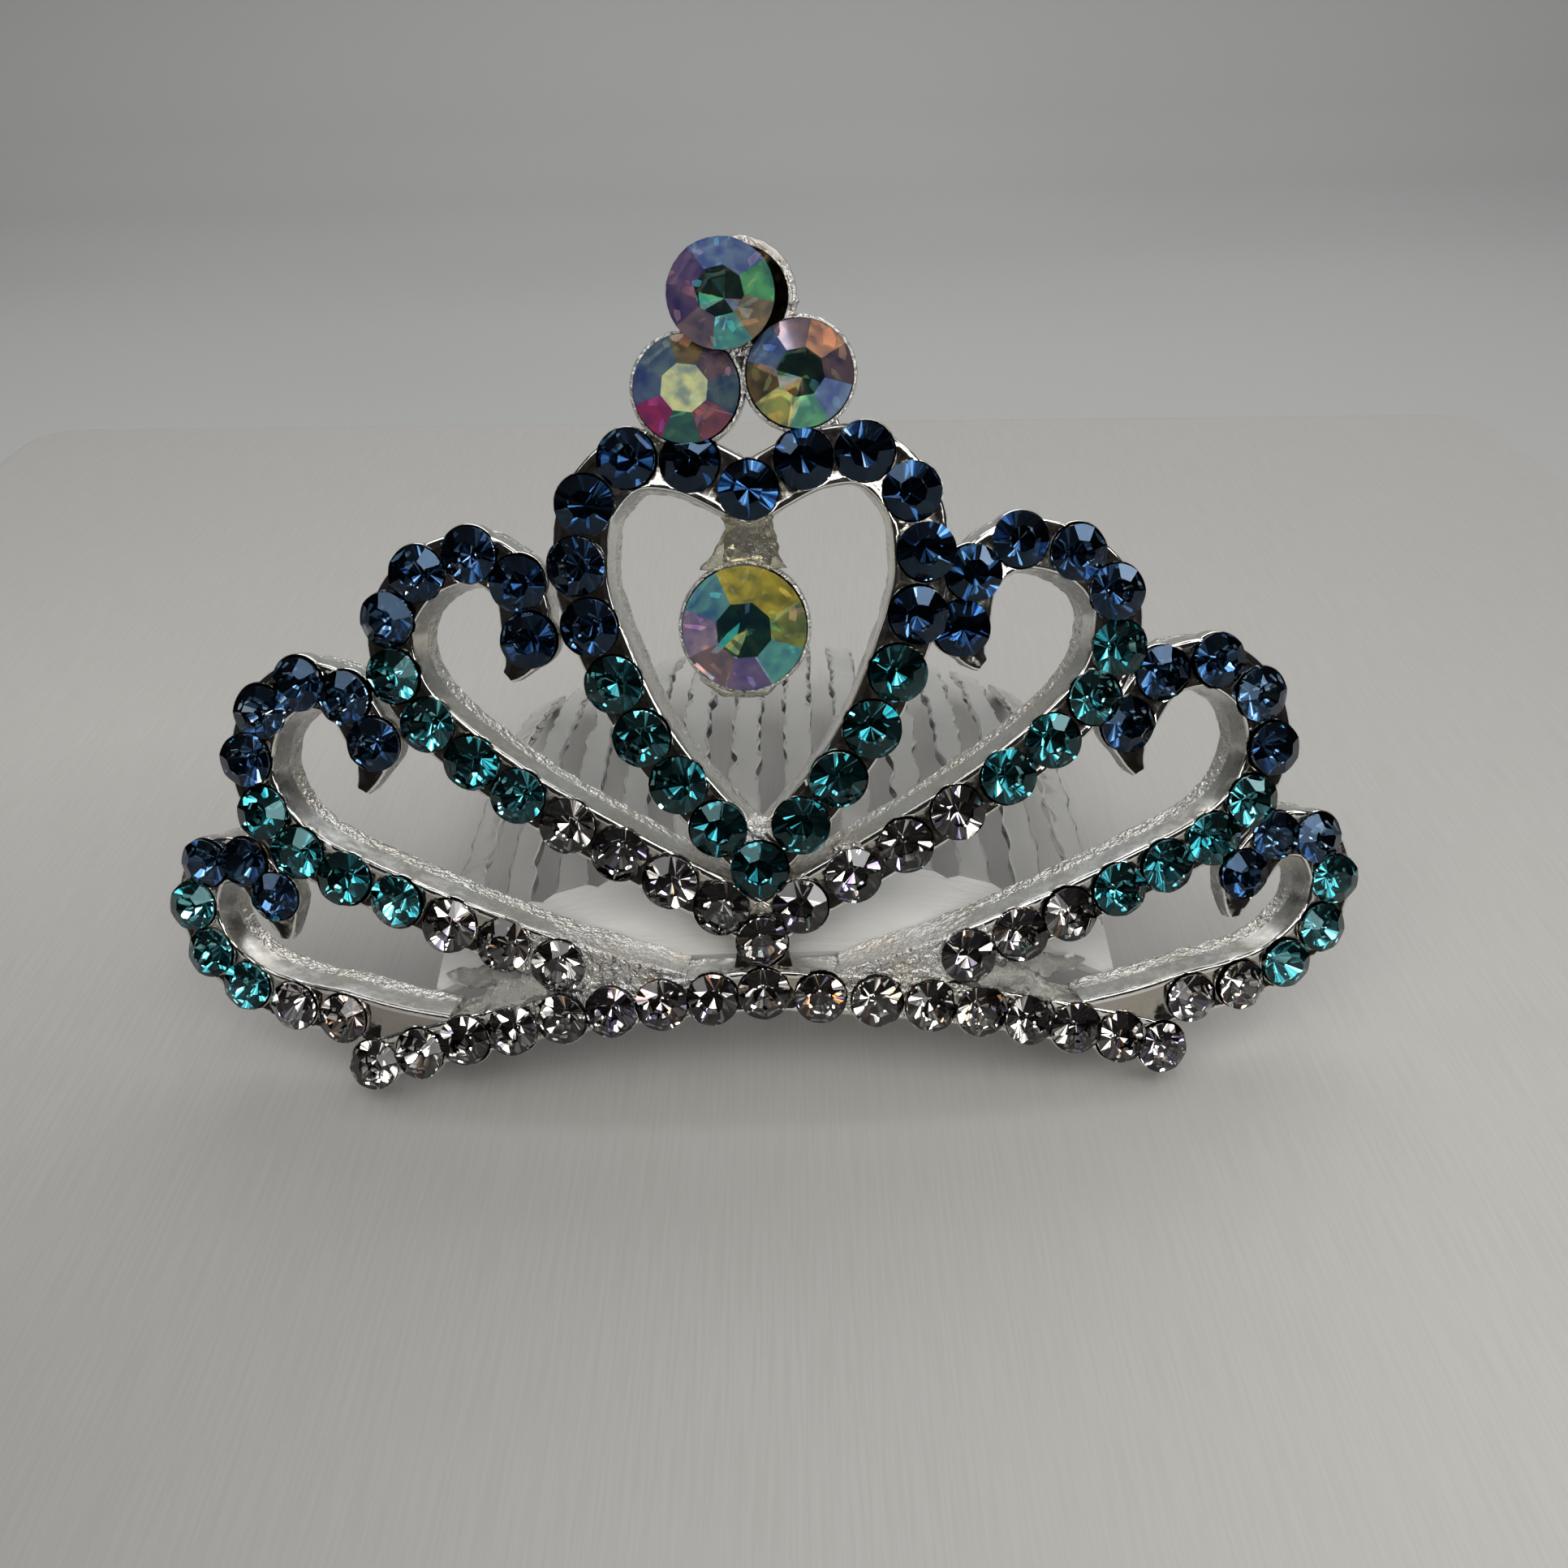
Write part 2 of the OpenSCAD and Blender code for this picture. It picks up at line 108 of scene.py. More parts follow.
# Large stones: u, v, girdle height, diameter, cup u, cup v, height of the cup's rim
TOP = (-1.05, 40.9, 1.35, CREST_D, -0.21, 40.85, 0.4)
LEFT = (-2.98, 36.4, 0.5, CREST_D, -2.98, 36.4, 0.3)
RIGHT = (2.78, 37, 0.5, CREST_D, 2.78, 37, 0.3)
DROP = (-0.4, 24.2, 0.6, DROP_D, -0.4, 24.2, 0.3)
# Short bars between cups and loops: u, v at both ends and half width
STRUTS = [(-3, 36.5, -4.2, 32.6, 1.4), (3, 36.5, 4.2, 32.6, 1.4), (0, 41, 0, 37, 1.6),
          (0, 31, -0.3, 26, 1.3), (0, 5, 0, 9, 1.7)]

# Rough lumps of the casting, where bars meet: u, v, n, radius
NUGGETS = [(0, 13.1, -0.6, 0.75), (4.7, 11.7, -0.6, 0.75), (6.1, 12.1, -0.8, 0.5), (-5.0, 11.3, -0.7, 0.6),
           (-1.9, 9.9, -0.5, 0.5), (2.4, 40.5, 0.2, 0.4), (-0.1, 38.9, -0.2, 0.5), (11.2, 5.1, -0.9, 0.6),
           (-11.4, 5.2, -0.9, 0.6)]

# Rough joint of the outer petals and the base band: range of |x|, greatest z
JOINT_U = (3.6, 13.5)
JOINT_Z = 10.6

# Fineness of the curves, and the step between a bar's ribs
CUT_SUBSTEPS = 6
FINE_SUBSTEPS = 16
RIB_STEP = 0.34


def on_sheet(u, v, n=0.0):
    a = u / BEND_R
    x = (BEND_R + n) * math.sin(a)
    y = BEND_R - (BEND_R + n) * math.cos(a)
    flat = Vector((x, y * math.cos(LEAN) + v * math.sin(LEAN), v * math.cos(LEAN) - y * math.sin(LEAN)))
    return flat + SHEET_SHIFT


def place(u, v, n=0.0):
    """Frame of a sheet point: +Z to the viewer, +Y up the sheet."""
    return (Matrix.Translation(on_sheet(u, v, n)) @ Matrix.Rotation(-LEAN, 4, "X")
            @ Matrix.Rotation(u / BEND_R, 4, "Z") @ Matrix.Rotation(math.pi / 2, 4, "X"))


def blend(a, b, c, d, t):
    """Smooth value between b and c, with a and d as their neighbours."""
    return 0.5 * (2 * b + (c - a) * t + (2 * a - 5 * b + 4 * c - d) * t * t
                  + (3 * b - a - 3 * c + d) * t * t * t)


class Track:
    """Smooth curve through control points, read by its running length."""

    def __init__(self, points, substeps):
        self.substeps = substeps
        self.rows = []
        last = len(points) - 1
        for i in range(last):
            four = [points[max(i - 1, 0)], points[i], points[i + 1], points[min(i + 2, last)]]
            for j in range(substeps):
                self.rows.append([blend(*column, j / substeps) for column in zip(*four)])
        self.rows.append(list(points[last]))
        self.run = [0.0]
        for p, q in zip(self.rows, self.rows[1:]):
            self.run.append(self.run[-1] + math.hypot(q[0] - p[0], q[1] - p[1]))
        self.length = self.run[-1]

    def at(self, s):
        s = min(max(s, 0.0), self.length)
        i = 0
        while i < len(self.run) - 2 and self.run[i + 1] < s:
            i += 1
        t = (s - self.run[i]) / (self.run[i + 1] - self.run[i])
        return [p + (q - p) * t for p, q in zip(self.rows[i], self.rows[i + 1])]

    def mark(self, control):
        return self.run[control * self.substeps]

    def heading(self, s):
        a, b = self.at(s - 0.05), self.at(s + 0.05)
        return math.atan2(b[1] - a[1], b[0] - a[0])


def tuck(points, s, side):
    """How far the hooked end of a right-hand petal is bent in towards the middle."""
    if side < 0:
        return 0
    deep = next((far for petal, far in TUCKS if petal is points), 0)
    return deep * max(0, 1 - s / TUCK_L)


def seats(points, first, last, count, bunch):
    """Stone places of a string, left and right: u, v and n. The middle stones sit bunch mm along."""
    t = Track(points, CUT_SUBSTEPS)
    a, b = t.mark(first), t.mark(last)
    both = {}
    for side, along in zip((-1, 1), bunch):
        spots = [a + (b - a) * i / (count - 1) + along * math.sin(math.pi * i / (count - 1))
                 for i in range(count)]
        both[side] = [(side * (t.at(s)[0] - tuck(points, s, side)), t.at(s)[1],
                       -TUCK_SINK * tuck(points, s, side)) for s in spots]
    return both


HEART_SEATS = seats(HEART, 0, 8, 11, (0.25, 0))
INNER_SEATS = seats(INNER, 2, 11, 13, (-0.1, -0.75))
OUTER_SEATS = seats(OUTER, 2, 11, 12, (-0.55, 0.3))
LOW_SEATS = seats(LOW, 2, 9, 8, (-0.5, -0.4))
BASE_SEATS = seats(BASE, 0, 4, 9, (-0.1, 0.7))


def shader(mat):
    return mat.node_tree.nodes["Principled BSDF"]


def material(name, **sockets):
    mat = bpy.data.materials.new(name)
    mat.use_nodes = True
    for key, value in sockets.items():
        shader(mat).inputs[key.replace("_", " ")].default_value = value
    return mat


def node(mat, kind, **values):
    made = mat.node_tree.nodes.new(kind)
    for key, value in values.items():
        if key in made.inputs:
            made.inputs[key].default_value = value
        else:
            setattr(made, key, value)
    return made


def join(mat, out, into):
    mat.node_tree.links.new(out, into)


def texture(mat, scale, detail, stretch=(1, 1, 1)):
    """Noise in object space; scale is in features per millimetre."""
    coords = node(mat, "ShaderNodeTexCoord")
    mapping = node(mat, "ShaderNodeMapping", Scale=stretch)
    made = node(mat, "ShaderNodeTexNoise", Scale=scale / MM, Detail=detail)
    join(mat, coords.outputs["Object"], mapping.inputs["Vector"])
    join(mat, mapping.outputs["Vector"], made.inputs["Vector"])
    return made


def spread(mat, out, low, high, into, start=0.3, stop=0.7):
    """Map a noise value to a range and feed it to a socket."""
    made = node(mat, "ShaderNodeMapRange")
    for key, value in zip(("From Min", "From Max", "To Min", "To Max"), (start, stop, low, high)):
        made.inputs[key].default_value = value
    join(mat, out, made.inputs["Value"])
    join(mat, made.outputs["Result"], into)


def mixed(mat, out, low, high, into, start=0.3, stop=0.7):
    """Mix two colours by a noise value."""
    ramp = node(mat, "ShaderNodeValToRGB")
    ramp.color_ramp.elements[0].position = start
    ramp.color_ramp.elements[0].color = (*low, 1)
    ramp.color_ramp.elements[1].position = stop
    ramp.color_ramp.elements[1].color = (*high, 1)
    join(mat, out, ramp.inputs["Fac"])
    join(mat, ramp.outputs["Color"], into)


def bump(mat, layers):
    """Stack bumps: each layer is a height output, a depth in mm and a strength."""
    normal = None
    for out, depth, strength in layers:
        made = node(mat, "ShaderNodeBump", Strength=strength, Distance=depth * MM)
        join(mat, out, made.inputs["Height"])
        if normal:
            join(mat, normal, made.inputs["Normal"])
        normal = made.outputs["Normal"]
    join(mat, normal, shader(mat).inputs["Normal"])


def tinted(mat, *sockets):
    """Feed each face's colour, kept in the tint attribute, to sockets. On the small stones' backs it also
    holds painted flashes, and on the glints the colour of a painted glow.
    """
    tint = node(mat, "ShaderNodeVertexColor", layer_name="tint")
    for into in sockets:
        join(mat, tint.outputs["Color"], into)


def product(mat):
    """Node that multiplies two colours."""
    made = node(mat, "ShaderNodeMix", data_type="RGBA", blend_type="MULTIPLY")
    made.inputs["Factor"].default_value = 1.0
    return made


def silver(name, tone, low, high, grain, depth, strength, fine=2.5):
    """Plated metal: tone, least and greatest roughness, then grain, depth and strength of its relief."""
    mat = material(name, Metallic=1.0, Base_Color=(*tone, 1))
    coarse = texture(mat, grain, 2.0)
    small = texture(mat, fine, 3.0)
    patch = texture(mat, 0.35, 1.0)
    warm = tuple(c * w for c, w in zip(tone, (0.93, 0.9, 0.84)))
    mixed(mat, patch.outputs["Fac"], warm, tone, shader(mat).inputs["Base Color"], 0.35, 0.6)
    spread(mat, small.outputs["Fac"], low, high, shader(mat).inputs["Roughness"])
    bump(mat, [(coarse.outputs["Fac"], depth, strength), (small.outputs["Fac"], depth * 0.3, strength)])
    return mat


# One plated silver in four copies, picked by where a face points: the polished front's darker tone is
# painted shade, the edges' near white tone a painted highlight
POLISHED_PAINTED_DARK = silver("silver_polished_painted_dark", (0.5, 0.475, 0.43), 0.05, 0.2, 1.0, 0.06, 0.4)
EDGE_PAINTED_HIGHLIGHT = silver("silver_edge_painted_highlight", (0.94, 0.93, 0.91), 0.04, 0.14, 0.8, 0.05, 0.3)
SATIN = silver("silver_satin", (0.74, 0.735, 0.72), 0.2, 0.34, 0.5, 0.05, 0.35, 2.0)
CAST = silver("silver_as_cast", (0.9, 0.89, 0.87), 0.06, 0.22, 2.4, 0.3, 1.0, 6.0)


def glass(name, tone, sheen):
    """Cut glass, polished but for a few worn spots. Sheen is the colour of its reflections."""
    mat = material(name, Base_Color=(*tone, 1), IOR=1.58, Transmission_Weight=1.0,
                   Specular_Tint=(*sheen, 1))
    wear = texture(mat, 1.4, 1.0)
    spread(mat, wear.outputs["Fac"], 0.0, 0.015, shader(mat).inputs["Roughness"], 0.55, 0.8)
    return mat


def foil(name):
    """Mirror back of a stone."""
    mat = material(name, Metallic=1.0)
    tinted(mat, shader(mat).inputs["Base Color"])
    haze = texture(mat, 0.8, 0.0)
    spread(mat, haze.outputs["Fac"], 0.004, 0.036, shader(mat).inputs["Roughness"])
    return mat


FOIL = foil("stone_foil")
GLASS = {"blue": glass("glass_blue", (0.82, 0.93, 1.0), (0.4, 0.64, 1.0)),
         "teal": glass("glass_teal", (0.66, 0.95, 0.97), (0.5, 0.95, 1.0)),
         "clear": glass("glass_clear", (0.98, 0.975, 0.965), (1, 1, 1))}
# Foil tone of each colour, and the brighter tone that some facets turn to as a painted flash, standing in
# for light caught by the facet
FOIL_AND_FLASH_TONES = {"blue": ((0.02, 0.055, 0.12), (0.19, 0.33, 0.5)),
              "teal": ((0.045, 0.23, 0.26), (0.38, 0.74, 0.77)),
              "clear": ((0.25, 0.24, 0.225), (0.97, 0.95, 0.93))}
# Share of the back's triangles given a painted flash, and of those given a pale painted flash
PAINTED_FLASH_SHARES = {"blue": 0.28, "teal": 0.36, "clear": 0.66}
PAINTED_PALE_SHARE = 0.1
# Split light, painted: a few flash facets of the clear stones turn orange and violet
PAINTED_SPARK_FROM = 0.94
PAINTED_SPARK_WARM = [1, 0.6, 0.33]
PAINTED_SPARK_COOL = [0.62, 0.5, 0.95]


def build(name, verts, faces, materials, picks=None, smooth_deg=None):
    mesh = bpy.data.meshes.new(name)
    mesh.from_pydata([Vector(v) * MM for v in verts], [], faces)
    for mat in materials:
        mesh.materials.append(mat)
    if picks:
        mesh.polygons.foreach_set("material_index", picks)
    bm = bmesh.new()
    bm.from_mesh(mesh)
    bmesh.ops.recalc_face_normals(bm, faces=bm.faces)
    bm.to_mesh(mesh)
    bm.free()
    if smooth_deg:
        mesh.shade_smooth()
        mesh.set_sharp_from_angle(angle=math.radians(smooth_deg))
    made = bpy.data.objects.new(name, mesh)
    bpy.context.scene.collection.objects.link(made)
    return made


def tube(rings, closed=False):
    """Skin of equal rings, capped at both ends unless it closes on itself."""
    count = len(rings[0])
    verts = [p for ring in rings for p in ring]
    faces = []
    spans = len(rings) if closed else len(rings) - 1
    for i in range(spans):
        j = (i + 1) % len(rings)
        for k in range(count):
            m = (k + 1) % count
            faces.append((i * count + k, i * count + m, j * count + m, j * count + k))
    if not closed:
        faces.append(tuple(range(count)))
        faces.append(tuple((len(rings) - 1) * count + k for k in range(count)))
    return verts, faces


def turned(where, r, a, z):
    """Point at a radius, an angle and a height of a placed solid."""
    return where @ Vector((r * math.cos(a), r * math.sin(a), z))


def lathe(profile, sides, where):
    """Turned solid: profile rows are radius and height, from bottom to top."""
    turns = [2 * math.pi * k / sides for k in range(sides)]
    return tube([[turned(where, max(r, 0.001), a, z) for a in turns] for r, z in profile])


def boolean(base, tool, operation):
    step = base.modifiers.new("step", "BOOLEAN")
    step.operation = operation
    step.solver = "MANIFOLD"
    step.object = tool
    bpy.context.view_layer.update()
    graph = bpy.context.evaluated_depsgraph_get()
    mesh = bpy.data.meshes.new_from_object(base.evaluated_get(graph))
    base.modifiers.clear()
    old = base.data
    base.data = mesh
    bpy.data.meshes.remove(old)
    bpy.data.objects.remove(tool)


def rough(point, frequency, seed):
    return noise.noise(point * frequency + Vector((seed, 0, 0)))


def section(share, flare, thin):
    """Half outline of a bar: distance across, height, and how rough the casting is there."""
    half = share * (BAR_IN if flare > FLARE_SHUT else BAR_OUT)
    back = half + share * flare
    bevel = min(BAR_BEVEL, half * 0.8)
    deep = BAR_D * thin
    lip = BAR_LIP * min(1, half)
    rows = [(max(half - bevel - LIP_W, 0.2 * half), 0, 0)]
    for k in range(4):
        a = math.radians(30 * k)
        rows.append((half - bevel + bevel * math.sin(a), (bevel + lip) * math.cos(a) - bevel, 0.12 * k))
    for depth, grain in WALL_ROWS:
        rows.append((half + (back - half) * depth, -deep * depth, grain))
    rows.append((back - 0.08 * share, -deep * 0.977, 0.8))
    rows.append((back - 0.22 * share, -deep, 0.4))
    return rows


def rib(t, s, side, flares, hooked, sink, bent):
    """Outline of a bar at length s of its track."""
    p = t.at(s)
    p[0] -= bent
    h = t.heading(s)
    across = (0, 1 / math.cos(h)) if abs(p[0]) < 1e-6 else (-math.sin(h), math.cos(h))
    ring = []
    thin = min(1, HOOK_THIN + (1 - HOOK_THIN) * s / HOOK_L) if hooked else 1
    for flip, rows in ((1, section(p[2], flares[0], thin)), (-1, section(p[2], flares[1], thin)[::-1])):
        for reach, n, grain in rows:
            centre = on_sheet(side * p[0], p[1], n - sink)
            u, v = p[0] + flip * reach * across[0], p[1] + flip * reach * across[1]
            out = on_sheet(side * u, v, n - sink)
            shift = sum(size * rough(out, waves, seed) for size, waves, seed in CAST_WAVES) * grain
            away = (out - centre).normalized()
            ring.append(out + away * shift)
    return ring


def ribs(points, side, flares, sink):
    t = Track(points, FINE_SUBSTEPS)
    steps = math.ceil(t.length / RIB_STEP)
    hooked = points[0][2] < 1
    runs = [t.length * i / steps for i in range(steps + 1)]
    return [rib(t, s, side, flares, hooked, sink, tuck(points, s, side)) for s in runs]


def bar(points, kind, sink):
    """Bar along a string: a loop, one that runs through the middle or from it, or one side's (-1 or 1)."""
    flares = (FLARE_OPEN, FLARE_SHUT) if kind == "from_middle" else (FLARE_SHUT, FLARE_OPEN)
    if kind in (-1, 1):
        return [tube(ribs(points, kind, flares, sink))]
    if kind == "loop":
        right = ribs(points, 1, (FLARE_SHUT, FLARE_SHUT + 0.01), sink)
        left = ribs(points, -1, (FLARE_SHUT, FLARE_LOOP), sink)
        return [tube(right + left[-2:0:-1], True)]
    right = ribs(points, 1, flares, sink)
    left = ribs(points, -1, flares, sink)
    if kind == "from_middle":
        return [tube(left[:0:-1] + right)]
    return [tube(right + left[-2::-1])]


def cup(stone):
    """Cup of a large stone, from its floor to its rim."""
    r = stone[3] / 2 + SEAT_GAP + 0.2
    rim = BAR_D + stone[6]
    profile = [(r - 0.9, 0), (r - 0.35, 0.12), (r - 0.08, 0.6), (r, 1.4), (r, rim - 0.12),
               (r - 0.05, rim - 0.02), (r - 0.12, rim)]
    return lathe(profile, 48, place(stone[4], stone[5], -BAR_D))


def strut(row):
    """Short bar, a little narrower in its middle."""
    u0, v0, u1, v1, half = row
    h = math.atan2(v1 - v0, u1 - u0)
    steps = 12
    rings = []
    for i in range(steps + 1):
        t = i / steps
        pinch = 1 - 0.18 * math.sin(math.pi * t)
        u, v = u0 + (u1 - u0) * t, v0 + (v1 - v0) * t
        ring = []
        for w, n in ((1, -0.55), (0.85, -0.42), (-0.85, -0.42), (-1, -0.55), (-1, -BAR_D), (1, -BAR_D)):
            w *= half * pinch
            ring.append(on_sheet(u - w * math.sin(h), v + w * math.cos(h), n))
        rings.append(ring)
    return tube(rings)


def nugget(u, v, n, r):
    """Rough lump of cast metal."""
    high, wide = 9, 14
    rings = []
    for i in range(high):
        a = math.pi * (i + 0.5) / high - math.pi / 2
        ring = []
        for k in range(wide):
            b = 2 * math.pi * k / wide
            way = Vector((math.cos(a) * math.cos(b), math.cos(a) * math.sin(b), 0.7 * math.sin(a)))
            grow = r * (1 + 0.5 * rough(way + Vector((u, v, 0)), 1.6, 21))
            ring.append(place(u, v, n) @ (way * grow))
        rings.append(ring)
    return tube(rings)


def collar(u, v, n, d):
    """Thin raised wall round a stone's seat."""
    r = d / 2 + SEAT_GAP
    profile = [(r + 0.02, -1.1), (r + 0.06, -0.5), (r + 0.06, -0.12), (r + 0.03, -0.08)]
    return lathe(profile, 32, place(u, v, n))


def seat(u, v, n, d):
    """Room for a small stone, open to the front."""
    r = d / 2 + SEAT_GAP
    depth = PAVILION * d + SEAT_SPARE
    return lathe([(0, -depth), (r, -SEAT_SPARE), (r, 1.2)], 32, place(u, v, n + GIRDLE_N))


def hollow(stone):
    """Inside of a large stone's cup. The top cup's is narrower, because its stone sits beside it."""
    r = stone[3] / 2 + SEAT_GAP + (-0.22 if stone is TOP else 0.02)
    return lathe([(0.4 * r, -1.7), (r, 0), (r, 4)], 48, place(stone[4], stone[5]))


def large_seat(stone):
    """Room for a large stone."""
    r = stone[3] / 2 + SEAT_GAP
    depth = PAVILION * stone[3]
    return lathe([(0, -depth), (r, -0.05), (r, 3)], 48, place(stone[0], stone[1], stone[2]))


def sheet_seats():
    """Every small stone's u, v, n and diameter."""
    rows = []
    for side in (-1, 1):
        for places, d in ((HEART_SEATS, STONE_HEART_D), (INNER_SEATS, STONE_D), (OUTER_SEATS, STONE_D),
                          (LOW_SEATS, STONE_LOW_D), (BASE_SEATS, STONE_BASE_D)):
            rows += [(u, v, n, d) for u, v, n in places[side] if side > 0 or abs(u) > 0.01]
    rows.append((0, NECK_V, 0, STONE_LOW_D))
    return rows


def apart(rows, reach):
    """Groups of rows whose members keep clear of each other."""
    groups = []
    for row in rows:
        for group in groups:
            if all(math.hypot(row[0] - o[0], row[1] - o[1]) > reach for o in group):
                group.append(row)
                break
        else:
            groups.append([row])
    return groups


def gathered(name, shapes):
    """One piece made of several closed shapes."""
    verts, faces = [], []
    for v, f in shapes:
        faces += [tuple(k + len(verts) for k in face) for face in f]
        verts += v
    return build(name, verts, faces, [])


def sheet_depth(point):
    """Height of a point over the front face of the sheet."""
    p = Matrix.Rotation(LEAN, 3, "X") @ (point - SHEET_SHIFT)
    return math.hypot(p.x, BEND_R - p.y) - BEND_R


def metal_of(face):
    """Which metal a face shows: 0 polished front, darkened as painted shade, 1 satin, 2 rough as cast, 3
    bright edge, a painted highlight.
    """
    centre = face.center / MM
    turn = Matrix.Rotation(-LEAN, 3, "X") @ Matrix.Rotation(centre.x / BEND_R, 3, "Z")
    facing = face.normal.dot(turn @ Vector((0, -1, 0)))
    depth = sheet_depth(centre)
    lumpy = any((centre - on_sheet(*row[:3])).length < 1.5 * row[3] for row in NUGGETS)
    joint = JOINT_U[0] < abs(centre.x) < JOINT_U[1] and centre.z < JOINT_Z
    if lumpy or joint or depth > 0.1:
        return 2
    if facing > 0.985 or (facing > 0.45 and depth < -0.4):
        return 0
    if facing > 0.25 and depth > -0.4:
        return 3
    return 2 if abs(facing) > 0.45 or depth < -1.45 else 1


def make_frame():
    shapes = bar(HEART, "loop", 0) + bar(INNER, "through", INNER_SINK) + bar(BASE, "from_middle", BASE_SINK)
    for side in (-1, 1):
        shapes += bar(OUTER, side, OUTER_SINK) + bar(LOW, side, LOW_SINK)
    shapes += [cup(s) for s in (TOP, LEFT, RIGHT, DROP)] + [strut(s) for s in STRUTS]
    body = gathered("tiara_frame", shapes[:1])
    for shape in shapes[1:]:
        boolean(body, gathered("add", [shape]), "UNION")
    for row in NUGGETS:
        boolean(body, gathered("add", [nugget(*row)]), "UNION")
    groups = apart(sheet_seats(), SEAT_REACH)
    for group in groups:
        boolean(body, gathered("add", [collar(*row) for row in group]), "UNION")
    for group in groups:
        boolean(body, gathered("cut", [seat(*row) for row in group]), "DIFFERENCE")
    for stone in (TOP, LEFT, RIGHT, DROP):
        boolean(body, gathered("cut", [hollow(stone)]), "DIFFERENCE")
        boolean(body, gathered("cut", [large_seat(stone)]), "DIFFERENCE")
    mesh = body.data
    mesh.materials.clear()
    for mat in (POLISHED_PAINTED_DARK, SATIN, CAST, EDGE_PAINTED_HIGHLIGHT):
        mesh.materials.append(mat)
    for face in mesh.polygons:
        face.material_index = metal_of(face)
    mesh.shade_smooth()
    for face in mesh.polygons:
        face.use_smooth = face.material_index > 0
    mesh.set_sharp_from_angle(angle=math.radians(38))
    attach(body, "root")
    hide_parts("frame")


# Stones: facets of the crown, points round the girdle, most tilt in degrees, most shift of a stone in mm
# and of its back's point in diameters
SIDES = 8
RING = 32
TILT = 6
SCATTER = 0.08
TIP_SCATTER = 0.05


def from_facet(k):
    """Angle of a girdle point from the middle of its facet."""
    a = 2 * math.pi * k / RING
    width = 2 * math.pi / SIDES
    return (a % width) - width / 2


def brilliant(d, where, tip, table=0.48, crown=0.19, girdle=0.04, pavilion=PAVILION):
    """Closed cut stone with a round girdle. Returns verts, faces and each face's part and number."""
    r = d / 2
    flat = d * table / 2
    inner = flat * math.cos(math.pi / SIDES)
    slope = crown * d / (r - inner)
    top = d * (crown + girdle)
    verts, faces, parts = [], [], []
    for i in range(SIDES):
        a = 2 * math.pi * i / SIDES
        verts.append(turned(where, flat, a, top))
    for k in range(RING):
        a = 2 * math.pi * k / RING
        z = top - slope * (r * math.cos(from_facet(k)) - inner)
        verts.append(turned(where, r, a, z))
    low = SIDES + RING
    for k in range(RING):
        a = 2 * math.pi * k / RING
        z = -pavilion * d + pavilion * d * math.cos(from_facet(k))
        verts.append(turned(where, r, a, z))
    verts.append(where @ Vector((tip[0] * d, tip[1] * d, -pavilion * d)))
    culet = len(verts) - 1
    faces.append(tuple(range(SIDES)))
    parts.append(("table", 0))
    span = RING // SIDES
    for i in range(SIDES):
        rim = [SIDES + (i * span + k) % RING for k in range(span + 1)]
        faces.append((i, *rim, (i + 1) % SIDES))
        parts.append(("crown", i))
    for k in range(RING):
        m = (k + 1) % RING
        faces.append((SIDES + k, low + k, low + m, SIDES + m))
        parts.append(("girdle", k))
    for k in range(RING):
        faces.append((culet, low + (k + 1) % RING, low + k))
        parts.append(("back", k))
    return verts, faces, parts


def foil_tone_with_painted_flash(colour):
    """Tone of one triangle of a stone's back: the foil's tone, brightened on some triangles as a painted
    flash.
    """
    low, high = FOIL_AND_FLASH_TONES[colour]
    if RNG.random() < PAINTED_PALE_SHARE:
        return [0.35 + 0.65 * c for c in high]
    t = RNG.uniform(0.5, 1) if RNG.random() < PAINTED_FLASH_SHARES[colour] else RNG.uniform(0, 0.2)
    gain = RNG.uniform(0.75, 1.2)
    if colour == "clear" and t > PAINTED_SPARK_FROM:
        return PAINTED_SPARK_WARM if gain > 1 else PAINTED_SPARK_COOL
    return [(a + (b - a) * t) * gain for a, b in zip(low, high)]


def stones(name, rows, colour, node_name):
    """One piece of cut stones. Rows hold u, v, height, diameter and turn."""
    verts, faces, picks, tints = [], [], [], []
    for u, v, n, d, turn in rows:
        tilt = Matrix.Rotation(math.radians(RNG.uniform(-TILT, TILT)), 4, "X")
        tilt = tilt @ Matrix.Rotation(math.radians(RNG.uniform(-TILT, TILT)), 4, "Y")
        where = place(u, v, n) @ tilt @ Matrix.Rotation(turn, 4, "Z")
        tip = (RNG.uniform(-TIP_SCATTER, TIP_SCATTER), RNG.uniform(-TIP_SCATTER, TIP_SCATTER))
        stone_verts, stone_faces, parts = brilliant(d, where, tip)
        faces += [tuple(k + len(verts) for k in face) for face in stone_faces]
        verts += stone_verts
        for part, _ in parts:
            picks.append(1 if part == "back" else 0)
            tints.append(foil_tone_with_painted_flash(colour) if part == "back" else [1, 1, 1])
    piece = build(name, verts, faces, [GLASS[colour], FOIL], picks)
    paint(piece, tints)
    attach(piece, "root")
    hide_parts(node_name)


def paint(piece, tints):
    """Give each face its colour."""
    layer = piece.data.color_attributes.new("tint", "FLOAT_COLOR", "CORNER")
    for face in piece.data.polygons:
        for loop in face.loop_indices:
            layer.data[loop].color = (*tints[face.index], 1)


def string(places, side, first, last, d):
    """Rows of a string's stones, each set a little by hand."""
    rows = []
    for u, v, n in places[side][first:last + 1]:
        rows.append((u + RNG.uniform(-SCATTER, SCATTER), v + RNG.uniform(-SCATTER, SCATTER),
                     n + GIRDLE_N + RNG.uniform(-0.03, 0.06), d, RNG.uniform(0, 2 * math.pi / SIDES)))
    return rows


